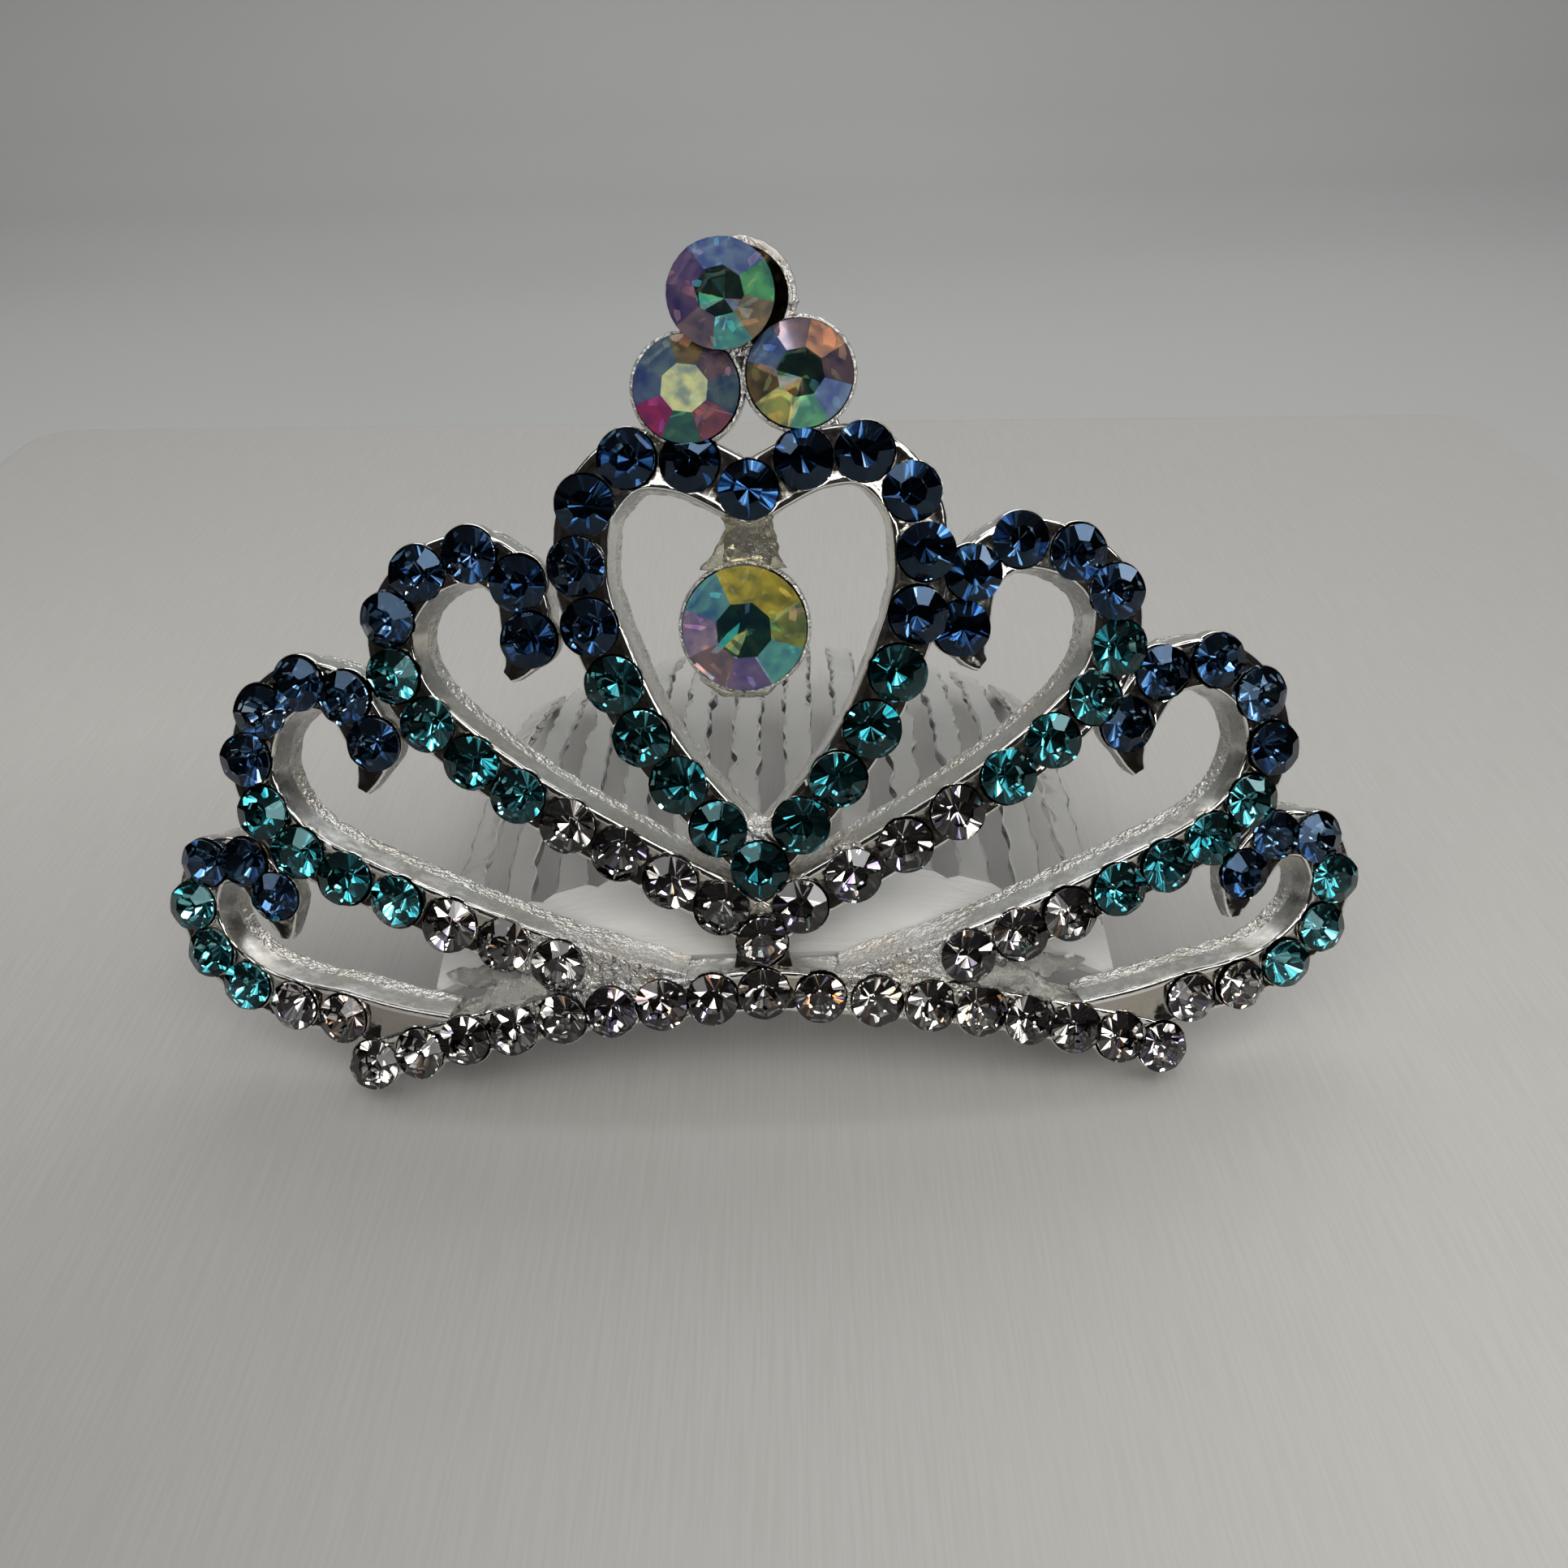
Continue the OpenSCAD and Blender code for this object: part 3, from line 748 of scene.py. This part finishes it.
def make_stones():
    stones("heart_stones_blue", string(HEART_SEATS, 1, 0, 5, STONE_HEART_D)
           + string(HEART_SEATS, -1, 1, 5, STONE_HEART_D), "blue", "heart_blue")
    stones("heart_stones_teal", string(HEART_SEATS, 1, 6, 10, STONE_HEART_D)
           + string(HEART_SEATS, -1, 6, 9, STONE_HEART_D), "teal", "heart_teal")
    for petal, places, counts, d in (("inner", INNER_SEATS, (5, 4, 4), STONE_D),
                                     ("outer", OUTER_SEATS, (5, 4, 3), STONE_D),
                                     ("low", LOW_SEATS, (3, 3, 2), STONE_LOW_D)):
        for side, word in ((-1, "left"), (1, "right")):
            first = 0
            for colour, count in zip(("blue", "teal", "clear"), counts):
                rows = string(places, side, first, first + count - 1, d)
                stones(f"{petal}_{word}_stones_{colour}", rows, colour, f"{petal}_{word}_{colour}")
                first += count
    stones("base_stones", string(BASE_SEATS, 1, 0, 8, STONE_BASE_D)
           + string(BASE_SEATS, -1, 1, 8, STONE_BASE_D), "clear", "base_clear")
    stones("neck_stone", [(0, NECK_V, GIRDLE_N, STONE_LOW_D, 0.2)], "clear", "neck_clear")


# Large stones: shares of the diameter, then the hues of the coating
TABLE = 0.46
CROWN = 0.19
GIRDLE = 0.03
LARGE_PAVILION = 0.4
LARGE_TIP = (0.03, -0.02)
HUES = {"violet": (0.23, 0.18, 0.45), "blue": (0.2, 0.34, 0.68), "sky": (0.2, 0.58, 0.72),
        "teal": (0.1, 0.52, 0.5), "green": (0.2, 0.8, 0.42), "olive": (0.5, 0.62, 0.2),
        "gold": (0.68, 0.62, 0.1), "peach": (0.95, 0.5, 0.32), "lilac": (0.7, 0.6, 0.95),
        "mauve": (0.26, 0.2, 0.27), "wine": (0.26, 0.06, 0.12), "crimson": (0.42, 0.01, 0.2),
        "brown": (0.3, 0.24, 0.14), "ink": (0.02, 0.1, 0.09), "pine": (0.02, 0.2, 0.17),
        "slate": (0.18, 0.32, 0.45), "moss": (0.42, 0.56, 0.24)}
# Turn, crown facets counter-clockwise from the viewer's right, and the table
COATS = {"stone_top": (12, "green blue blue violet violet mauve teal brown", "ink"),
         "stone_left": (-7, "slate mauve brown slate blue crimson pine wine", "moss"),
         "stone_right": (9, "mauve peach mauve blue brown olive green blue", "ink"),
         "stone_drop": (3, "olive gold gold sky lilac mauve violet teal", "pine")}
# Painted glints: slivers just under the crown that glow, standing in for flashes of light in the stone.
# Degrees round the stone, distance out, length and width as shares of the radius, lean in degrees and colour
PAINTED_GLINTS = {"stone_top": [(42, 0.84, 0.2, 0.1, 10, "coral"), (-48, 0.72, 0.26, 0.06, 60, "coral"),
                        (160, 0.42, 0.12, 0.08, 20, "cyan"), (118, 0.8, 0.14, 0.06, 40, "rose"),
                        (205, 0.86, 0.14, 0.08, 80, "amber"), (-72, 0.62, 0.14, 0.08, 10, "cyan"),
                        (-100, 0.84, 0.12, 0.05, 30, "amber"), (92, 0.88, 0.1, 0.06, 0, "cyan")],
          "stone_left": [(88, 0.84, 0.16, 0.12, 80, "coral"), (112, 0.86, 0.1, 0.08, 10, "amber"),
                         (-60, 0.5, 0.1, 0.06, 40, "amber"), (-125, 0.8, 0.16, 0.07, 15, "cyan"),
                         (20, 0.84, 0.1, 0.06, 60, "rose")],
          "stone_right": [(48, 0.82, 0.24, 0.16, 50, "coral"), (24, 0.86, 0.18, 0.1, 70, "amber"),
                          (140, 0.72, 0.16, 0.08, 30, "sky"), (196, 0.62, 0.2, 0.06, 50, "lime"),
                          (112, 0.86, 0.1, 0.06, 20, "rose")],
          "stone_drop": [(16, 0.8, 0.16, 0.08, 80, "rose"), (206, 0.3, 0.42, 0.08, 19, "cyan"),
                         (176, 0.78, 0.24, 0.05, 0, "rose"), (40, 0.86, 0.16, 0.05, 100, "amber"),
                         (-84, 0.84, 0.14, 0.06, 20, "lilac"), (128, 0.7, 0.12, 0.06, 50, "cyan")]}
PAINTED_GLINT_HUES = {"coral": (1.0, 0.45, 0.3), "amber": (1.0, 0.72, 0.35), "cyan": (0.2, 0.95, 0.85),
              "rose": (1.0, 0.5, 0.7), "sky": (0.4, 0.6, 1.0), "lime": (0.6, 0.85, 0.35),
              "lilac": (0.7, 0.6, 1.0)}
# Depth of a glint's back and front under the crown
GLINT_SINKS = (0.16, 0.12)


def iridescent(name, clear, metal):
    """Coated glass: the facet's hue, broken into patches."""
    mat = material(name, IOR=1.6, Transmission_Weight=clear, Metallic=metal, Roughness=0.05,
                   Coat_Weight=0.3, Coat_Roughness=0.02)
    cloud = texture(mat, 1.2, 4.0)
    gain = product(mat)
    tinted(mat, gain.inputs["A"])
    mixed(mat, cloud.outputs["Fac"], (0.5, 0.55, 0.8), (1.35, 1.2, 1.0), gain.inputs["B"], 0.36, 0.62)
    join(mat, gain.outputs["Result"], shader(mat).inputs["Base Color"])
    return mat


def painted_glint(row, d, where):
    """Painted glint: a thin bright sliver inside the stone, parallel to the crown there, that glows in place
    of a flash of light.
    """
    turn, out, length, width, lean = row[:5]
    r = d / 2
    middle = Vector((out * r * math.cos(math.radians(turn)), out * r * math.sin(math.radians(turn))))
    along = Vector((math.cos(math.radians(turn + lean)), math.sin(math.radians(turn + lean))))
    over = Vector((-along.y, along.x))
    rings = []
    for sink in GLINT_SINKS:
        ring = []
        for p, q in ((-1, -0.5), (-0.2, -1), (1, -0.6), (0.8, 0.7), (-0.5, 1)):
            at = middle + along * (p * length * r * 0.8) + over * (q * width * r * 0.8)
            fall = max(at.length - TABLE * r, 0) * CROWN / (0.5 - TABLE / 2)
            ring.append(where @ Vector((at.x, at.y, d * (CROWN + GIRDLE) - fall - sink)))
        rings.append(ring)
    return tube(rings)


# Painted glints: the slivers glow in their own colour, though there is no lamp in the stone
def painted_glint_material():
    mat = material("glass_painted_glint", Roughness=0.3, Emission_Strength=0.45)
    tinted(mat, shader(mat).inputs["Base Color"], shader(mat).inputs["Emission Color"])
    return mat


def make_large():
    painted_glint_glow = painted_glint_material()
    crown_glass = iridescent("glass_iridescent_crown", 0.7, 0.3)
    table_glass = iridescent("glass_iridescent_table", 0.95, 0.05)
    pale_glass = iridescent("glass_iridescent_pale", 0.3, 0.15)
    for name, stone in (("stone_top", TOP), ("stone_left", LEFT), ("stone_right", RIGHT),
                        ("stone_drop", DROP)):
        u, v, n, d = stone[:4]
        turn, facets, middle = COATS[name]
        where = place(u, v, n) @ Matrix.Rotation(math.radians(turn) - math.pi / SIDES, 4, "Z")
        verts, faces, parts = brilliant(d, where, LARGE_TIP, TABLE, CROWN, GIRDLE, LARGE_PAVILION)
        facets = facets.split()
        tints, picks = [], []
        for part, number in parts:
            picks.append({"back": 2, "table": 1}.get(part, 0))
            if part == "table":
                tints.append([c ** 0.6 for c in HUES[middle]])
            elif part == "crown":
                tints.append([1.15 * c for c in HUES[facets[number]]])
            elif part == "girdle":
                tints.append((0.6, 0.58, 0.5))
            else:
                hue = HUES[RNG.choice(["sky", "lilac", "green", "gold", "peach", "peach"])]
                tints.append([0.35 + 0.6 * c for c in hue])
        for row in PAINTED_GLINTS[name]:
            glint_verts, glint_faces = painted_glint(row, d, place(u, v, n))
            faces += [tuple(k + len(verts) for k in face) for face in glint_faces]
            verts += glint_verts
            picks += [3] * len(glint_faces)
            tints += [PAINTED_GLINT_HUES[row[5]]] * len(glint_faces)
        piece = build(name.replace("stone_", "large_stone_"), verts, faces,
                      [crown_glass, pale_glass if middle == "moss" else table_glass, FOIL, painted_glint_glow], picks)
        paint(piece, tints)
        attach(piece, "root")
        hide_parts(name)


# Comb and glue
COMB_W = 39.5
COMB_TEETH = 12
COMB_L = 47.0
SPINE_L = 4.0
# How far the plate's front edge reaches down to the base band, and how far from the middle that ends
SPINE_REACH = 1.7
SPINE_DROP = 0.75
SPINE_BEND_X = 15.0
SLOT_SHARE = 0.48
COMB_SHIFT = 0.5
# Slope of the comb at its spine and at its tips, and the arch across it
COMB_START = math.radians(12)
COMB_END = math.radians(-24)
COMB_R = COMB_L / (COMB_START - COMB_END)
ARCH_R = 42.0
COMB_Y = 5.5
COMB_Z = 9.73859
COMB_PITCH = COMB_W / (COMB_TEETH - SLOT_SHARE)
SLOT_W = COMB_PITCH * SLOT_SHARE
TOOTH_W = COMB_PITCH - SLOT_W
# Thickness at a length from the front edge
COMB_THICKNESS = [(0, 1.15), (4, 1.15), (6, 0.95), (12, 0.88), (38, 0.86), (44, 0.7), (47, 0.5)]
# Where a tooth starts inside the spine, the wave of its edges, and the length of its round tip
TOOTH_START = SPINE_L - 1.2
TOOTH_WAVE = 0.42
TOOTH_TIP_L = 2.2
COMB_ROUND = 0.1


def comb_point(x, s, up):
    """Point of the comb: x across, s along it from the front edge, up from its middle face."""
    a = COMB_START - s / COMB_R
    arch = math.sqrt(ARCH_R * ARCH_R - x * x) - ARCH_R
    return Vector((x + COMB_SHIFT,
                   COMB_Y + SHEET_SHIFT.y + COMB_R * (math.sin(COMB_START) - math.sin(a)) - up * math.sin(a),
                   COMB_Z + COMB_R * (math.cos(a) - math.cos(COMB_START)) + arch + up * math.cos(a)))


def comb_thickness(s):
    for (a, ta), (b, tb) in zip(COMB_THICKNESS, COMB_THICKNESS[1:]):
        if s <= b:
            return ta + (tb - ta) * (s - a) / (b - a)
    return COMB_THICKNESS[-1][1]


def tooth_half(i, side, x, s):
    """Half width of a tooth towards one side: round root, wavy edge, round tip."""
    half = TOOTH_W / 2
    root = SLOT_W / 2
    e = s - SPINE_L
    outer = i == (0 if side < 0 else COMB_TEETH - 1)
    if e >= root:
        wave = rough(Vector((x, s, 0)), 0.55, 8) * side
        wave += 0.4 * rough(Vector((x, s, side * 4.0)), 0.8, 17)
        half += min((e - root) / 3, 1) * TOOTH_WAVE * wave
    elif not outer:
        half = COMB_PITCH / 2 - math.sqrt(max(root * root - (root - max(e, 0)) ** 2, 0))
    left = COMB_L - s
    if left < TOOTH_TIP_L:
        half *= math.sqrt(max(1 - (1 - left / TOOTH_TIP_L) ** 2, 0.02)) * 0.9 + 0.1
    return half


def tooth(i):
    """One tooth with the wavy edges of the moulding, from inside the spine to its tip."""
    x = -COMB_W / 2 + TOOTH_W / 2 + i * COMB_PITCH
    rings = []
    steps = 120
    for k in range(steps + 1):
        s = TOOTH_START + (COMB_L - TOOTH_START) * k / steps
        t = comb_thickness(s) / 2
        ring = []
        for side in (-1, 1):
            half = tooth_half(i, side, x, s)
            shy = side * (half - min(COMB_ROUND, half * 0.5))
            edge = side * half
            corner = [(shy, -t), (edge, -t + COMB_ROUND), (edge, t - COMB_ROUND), (shy, t)]
            ring += corner if side > 0 else corner[::-1]
        rings.append([comb_point(x + w, s, up) for w, up in ring])
    return tube(rings)


def spine():
    """Plate along the teeth's roots, rippled by its mould. Its middle bends down to the frame."""
    rings = []
    steps = 96
    top = comb_thickness(0) / 2
    inner = [0.4 + 0.3 * j for j in range(12)]
    for k in range(steps + 1):
        x = -COMB_W / 2 + COMB_W * k / steps
        reach = SPINE_REACH * max(0, 1 - (x / SPINE_BEND_X) ** 2)
        drop = SPINE_DROP * reach
        ring = [(0.2 - reach, 0.08 - top - drop), (0.02 - reach, 0.3 - top - drop),
                (0.02 - reach, top - 0.3 - drop), (0.2 - reach, top - 0.08 - drop),
                (0.3 - reach / 2, top - 0.35 * drop)]
        for s in inner:
            ripple = 0.018 * math.sin(s * 9) + 0.02 * rough(Vector((x, s, 0)), 0.8, 5)
            ring.append((s, top + ripple))
        ring += [(SPINE_L - 0.02, top - COMB_ROUND), (SPINE_L - 0.02, -top + COMB_ROUND)]
        ring += [(s, -top + 0.015 * math.sin(s * 7)) for s in inner[::-1]]
        ring.append((0.3 - reach / 2, -top - 0.35 * drop))
        rings.append([comb_point(x, s, up) for s, up in ring])
    return tube(rings)


def plastic(name, clear, grain, depth, strength):
    """Clear moulded plastic with ripples: their number per mm, depth and strength."""
    mat = material(name, Base_Color=(0.94, 0.94, 0.925, 1), IOR=1.16, Transmission_Weight=clear)
    haze = texture(mat, 0.5, 4.0)
    spread(mat, haze.outputs["Fac"], 0.05, 0.14, shader(mat).inputs["Roughness"])
    ripple = texture(mat, grain, 2.0, (0.15, 1.0, 1.0))
    bump(mat, [(ripple.outputs["Fac"], depth, strength)])
    return mat


def plastic_edge_painted_dark():
    """Edges of the comb, hazy and darkened as painted shade, so that they show as thin lines."""
    return material("plastic_edge_painted_dark", Base_Color=(0.78, 0.78, 0.765, 1), IOR=1.03, Transmission_Weight=0.9,
                    Roughness=0.15)


def make_comb():
    body = gathered("hair_comb", [spine()])
    for group in (range(0, COMB_TEETH, 2), range(1, COMB_TEETH, 2)):
        boolean(body, gathered("add", [tooth(i) for i in group]), "UNION")
    body.data.materials.clear()
    for mat in (plastic("plastic_clear", 0.78, 0.5, 0.04, 0.2),
                plastic("plastic_rippled", 0.42, 3.0, 0.1, 0.9), plastic_edge_painted_dark()):
        body.data.materials.append(mat)
    for face in body.data.polygons:
        run = face.center.y / MM - SHEET_SHIFT.y - COMB_Y
        if abs(face.normal.z) < 0.6 and run > 0.5:
            face.material_index = 2
        elif run < SPINE_L + 0.2:
            face.material_index = 1
    body.data.shade_smooth()
    body.data.set_sharp_from_angle(angle=math.radians(30))
    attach(body, "root")
    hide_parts("comb")


def glue_material(name, tone, clear):
    mat = material(name, Base_Color=(*tone, 1), IOR=1.38, Transmission_Weight=clear)
    cloud = texture(mat, 0.9, 4.0)
    spread(mat, cloud.outputs["Fac"], 0.02, 0.14, shader(mat).inputs["Roughness"])
    bump(mat, [(cloud.outputs["Fac"], 0.3, 0.7)])
    return mat


def lump(rows, seed, upright=False, crinkle=0.0):
    """Hardened glue: rings along a line of u, v, n, half height (or width) and half depth, made uneven."""
    rings = []
    fine = 8
    sides = 18
    uneven = 0.15 if upright else 0.4
    for i in range((len(rows) - 1) * fine + 1):
        k = min(i // fine, len(rows) - 2)
        t = i / fine - k
        u, v, n, high, deep = (a + (b - a) * t for a, b in zip(rows[k], rows[k + 1]))
        ring = []
        for j in range(sides):
            a = 2 * math.pi * j / sides
            centre = on_sheet(u, v, n)
            reach = high * math.cos(a)
            out = on_sheet(u + reach * upright, v + reach * (not upright), n + deep * math.sin(a))
            grow = 1 + uneven * (rough(out, 0.8, seed) + rough(out, 1.8, seed + 5))
            grow += crinkle * rough(out, 4.0, seed + 9)
            ring.append(centre + (out - centre) * grow)
        rings.append(ring)
    return tube(rings)


def glued(name, node_name, shapes, mat):
    piece = gathered(name, shapes)
    piece.data.materials.append(mat)
    piece.data.shade_smooth()
    piece.data.set_sharp_from_angle(angle=math.radians(60))
    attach(piece, "root")
    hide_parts(node_name)


def make_glue():
    mat = glue_material("glue_clear", (0.95, 0.945, 0.9), 0.84)
    amber = glue_material("glue_yellowed", (0.95, 0.92, 0.76), 0.93)
    for side, word in ((-1, "left"), (1, "right")):
        behind = [(side * 13.6, 4.6, -1.9, 0.05, 0.1), (side * 14.6, 4.4, -1.8, 0.6, 0.5),
                  (side * 16.2, 4.3, -1.9, 0.7, 0.6), (side * 17.8, 4.3, -1.9, 0.5, 0.5),
                  (side * 18.7, 4.4, -2.1, 0.05, 0.1)]
        front = [(side * 17.0, 3.0, -0.3, 0.05, 0.05), (side * 16.0, 3.3, 0.0, 0.4, 0.4),
                 (side * 14.8, 3.9, 0.1, 0.75, 0.5), (side * 13.4, 4.4, 0.1, 0.8, 0.45),
                 (side * 12.1, 4.5, 0.0, 0.45, 0.35), (side * 11.2, 4.5, -0.3, 0.05, 0.05)]
        glued(f"glue_lump_{word}", f"glue_{word}",
              [lump(behind, 11 + side), lump(front, 23 + side, crinkle=0.35)], mat)
    above = [(-0.3, 27.1, 0.3, 0.6, 0.1), (-0.3, 27.25, 0.3, 2.2, 0.4), (-0.25, 27.8, 0.2, 1.9, 0.55),
             (-0.15, 28.6, 0.1, 1.45, 0.6), (0, 29.3, 0.05, 1.3, 0.5), (0, 29.9, 0.05, 1.45, 0.3),
             (0, 30.0, 0.05, 0.5, 0.1)]
    below = [(-2.9, 21.5, -0.4, 0.1, 0.1), (-1.9, 21.0, -0.2, 0.4, 0.45), (-0.6, 20.8, -0.1, 0.5, 0.5),
             (0.5, 20.85, -0.2, 0.4, 0.4), (1.2, 21.1, -0.4, 0.1, 0.1)]
    glued("glue_lump_drop", "glue_drop", [lump(above, 30, True), lump(below, 37)], amber)


# Stage: corners of the slab, their rounding, its middle, and inset and height of the rings of its edge
SLAB = [(-99, -190), (90, -190), (89.5, 101), (-98.3, 111.5)]
SLAB_ROUND = 6.0
SLAB_MIDDLE = Vector((-4, -30))
SLAB_RINGS = ((0, -18), (0, -0.9), (0.25, -0.3), (0.9, 0))
# Backdrop: y and z of its profile, and half its width
WALL = [(-600, -18), (300, -18), (360, -14), (400, 0), (430, 40), (440, 120), (445, 700)]
WALL_X = 900
# Painted shadow: a dim round patch of the floor, standing in for a soft shadow at its near left
PAINTED_SHADOW_R = 85.0
PAINTED_SHADOW_X = -48.0
PAINTED_SHADOW_Y = -62.0


def make_slab():
    outline = []
    for i, corner in enumerate(SLAB):
        here = Vector(corner)
        back = (Vector(SLAB[i - 1]) - here).normalized()
        on = (Vector(SLAB[(i + 1) % len(SLAB)]) - here).normalized()
        a, b = here + back * SLAB_ROUND, here + on * SLAB_ROUND
        for k in range(9):
            t = k / 8
            outline.append(a * (1 - t) ** 2 + here * 2 * t * (1 - t) + b * t * t)
    rings = []
    for inset, z in SLAB_RINGS:
        inner = [p - (p - SLAB_MIDDLE).normalized() * inset for p in outline]
        rings.append([Vector((q.x, q.y, z)) for q in inner])
    slab = build("floor_slab", *tube(rings), [floor_material()], smooth_deg=50)


def make_backdrop():
    verts = [Vector((x, y, z)) for x in (-WALL_X, WALL_X) for y, z in WALL]
    n = len(WALL)
    faces = [(k, k + 1, n + k + 1, n + k) for k in range(n - 1)]
    wall = build("backdrop", verts, faces, [backdrop_material()], smooth_deg=80)


def floor_material():
    """Paper with fine lines, darker towards its near left, where a soft shadow is painted."""
    mat = material("floor_paper", Roughness=0.62, Specular_IOR_Level=0.3)
    lines = texture(mat, 5.0, 3.0, (1.0, 0.03, 1.0))
    coords = node(mat, "ShaderNodeTexCoord")
    mapping = node(mat, "ShaderNodeMapping", Location=(-PAINTED_SHADOW_X / PAINTED_SHADOW_R, -PAINTED_SHADOW_Y / PAINTED_SHADOW_R, 0),
                   Scale=[1 / (PAINTED_SHADOW_R * MM)] * 3)
    painted_shadow = node(mat, "ShaderNodeTexGradient", gradient_type="SPHERICAL")
    gain = product(mat)
    join(mat, coords.outputs["Object"], mapping.inputs["Vector"])
    join(mat, mapping.outputs["Vector"], painted_shadow.inputs["Vector"])
    mixed(mat, lines.outputs["Fac"], (0.434, 0.427, 0.41), (0.458, 0.451, 0.437),
          gain.inputs["A"], 0.36, 0.62)
    # Painted shadow: the paper's colour falls to 0.6 towards the middle of the round patch
    mixed(mat, painted_shadow.outputs["Fac"], (1, 1, 1), (0.6, 0.6, 0.61), gain.inputs["B"], 0.0, 0.9)
    join(mat, gain.outputs["Result"], shader(mat).inputs["Base Color"])
    bump(mat, [(lines.outputs["Fac"], 0.04, 0.35)])
    return mat


def backdrop_material():
    mat = material("backdrop_grey", Roughness=0.9)
    cloud = texture(mat, 0.004, 2.0)
    mixed(mat, cloud.outputs["Fac"], (0.405, 0.415, 0.412), (0.455, 0.463, 0.46),
          shader(mat).inputs["Base Color"])
    return mat


# Light: the small round lamps that the facets mirror, each with x, y, z and brightness
SPOTS = [(-150, -120, 380, 5), (140, -150, 400, 10), (10, -260, 330, 8), (-260, 40, 330, 16),
         (270, 30, 300, 14), (60, 60, 460, 14), (-70, -20, 450, 8), (-190, -260, 240, 4),
         (210, -240, 220, 11), (-60, -330, 210, 5), (110, -340, 170, 10), (-50, -190, 400, 6),
         (90, -250, 300, 10), (200, -60, 350, 12), (-240, -110, 300, 5), (290, -150, 200, 14),
         (-120, -290, 290, 4), (20, -350, 250, 8)]
SPOT_D = 60
SPOT_GAIN = 0.58


def lamp(place_mm, width, depth, radiance, aim=(0, -5, 18), shape="RECTANGLE"):
    """Area lamp of the given radiance, turned to a point."""
    data = bpy.data.lights.new("lamp", "AREA")
    data.shape = shape
    data.size = width * MM
    data.size_y = depth * MM
    area = width * depth * MM * MM * (math.pi / 4 if shape == "DISK" else 1)
    data.energy = math.pi * area * radiance
    made = bpy.data.objects.new("lamp", data)
    bpy.context.scene.collection.objects.link(made)
    way = Vector(aim) - Vector(place_mm)
    turn = way.to_track_quat("-Z", "Y").to_matrix().to_4x4()
    made.matrix_world = Matrix.Translation(Vector(place_mm) * MM) @ turn
    return made


def make_light():
    lamp((40, 260, 360), 460, 200, 2.0)
    lamp((0, 200, 330), 800, 80, 1.45, (0, 440, 60))
    fill = lamp((-40, -300, 300), 600, 300, 2.4)
    fill.data.color = (1.0, 0.965, 0.89)
    fill.visible_glossy = False
    fill.visible_transmission = False
    lamp((70, -190, 150), 60, 30, 3.0, (40, -90, 0))
    for *spot, radiance in SPOTS:
        lamp(spot, SPOT_D, SPOT_D, SPOT_GAIN * radiance, shape="DISK")


def make_world():
    """Dark room that grows paler straight overhead."""
    world = bpy.data.worlds.new("studio")
    bpy.context.scene.world = world
    world.use_nodes = True
    coords = node(world, "ShaderNodeTexCoord")
    split = node(world, "ShaderNodeSeparateXYZ")
    height = node(world, "ShaderNodeMath", operation="MULTIPLY_ADD")
    height.inputs[1].default_value = 0.5
    height.inputs[2].default_value = 0.5
    join(world, coords.outputs["Generated"], split.inputs[0])
    join(world, split.outputs["Z"], height.inputs[0])
    mixed(world, height.outputs[0], (0.014, 0.013, 0.012), (0.16, 0.165, 0.17),
          world.node_tree.nodes["Background"].inputs["Color"], 0.76, 0.98)


# Camera: the photograph's side and focal length in pixels, the camera's place in mm, and its axes
PHOTO_PX = 1932
FOCAL_PX = 1900
SENSOR_MM = 36.0
CAMERA_AT = Vector((2.313, -92.28, 60.51))
CAMERA_RIGHT = Vector((0.99962372, -0.00337945, -0.02722132))
CAMERA_AHEAD = Vector((-0.01080202, 0.86369553, -0.50389817))


def make_camera():
    data = bpy.data.cameras.new("camera")
    data.sensor_width = SENSOR_MM
    data.lens = SENSOR_MM * FOCAL_PX / PHOTO_PX
    data.clip_start = 0.002
    data.clip_end = 20
    made = bpy.data.objects.new("camera", data)
    bpy.context.scene.collection.objects.link(made)
    up = CAMERA_RIGHT.cross(CAMERA_AHEAD)
    turn = Matrix((CAMERA_RIGHT, up, -CAMERA_AHEAD)).transposed().to_4x4()
    made.matrix_world = Matrix.Translation(CAMERA_AT * MM) @ turn
    bpy.context.scene.camera = made


make_frame()
make_stones()
make_large()
make_comb()
make_glue()
make_slab()
make_backdrop()
make_light()
make_world()
make_camera()
bpy.context.scene.view_settings.view_transform = "Standard"
light_paths = bpy.context.scene.cycles
light_paths.max_bounces = 7
light_paths.transmission_bounces = 7
light_paths.glossy_bounces = 3
light_paths.diffuse_bounces = 1
light_paths.caustics_reflective = False
light_paths.caustics_refractive = False
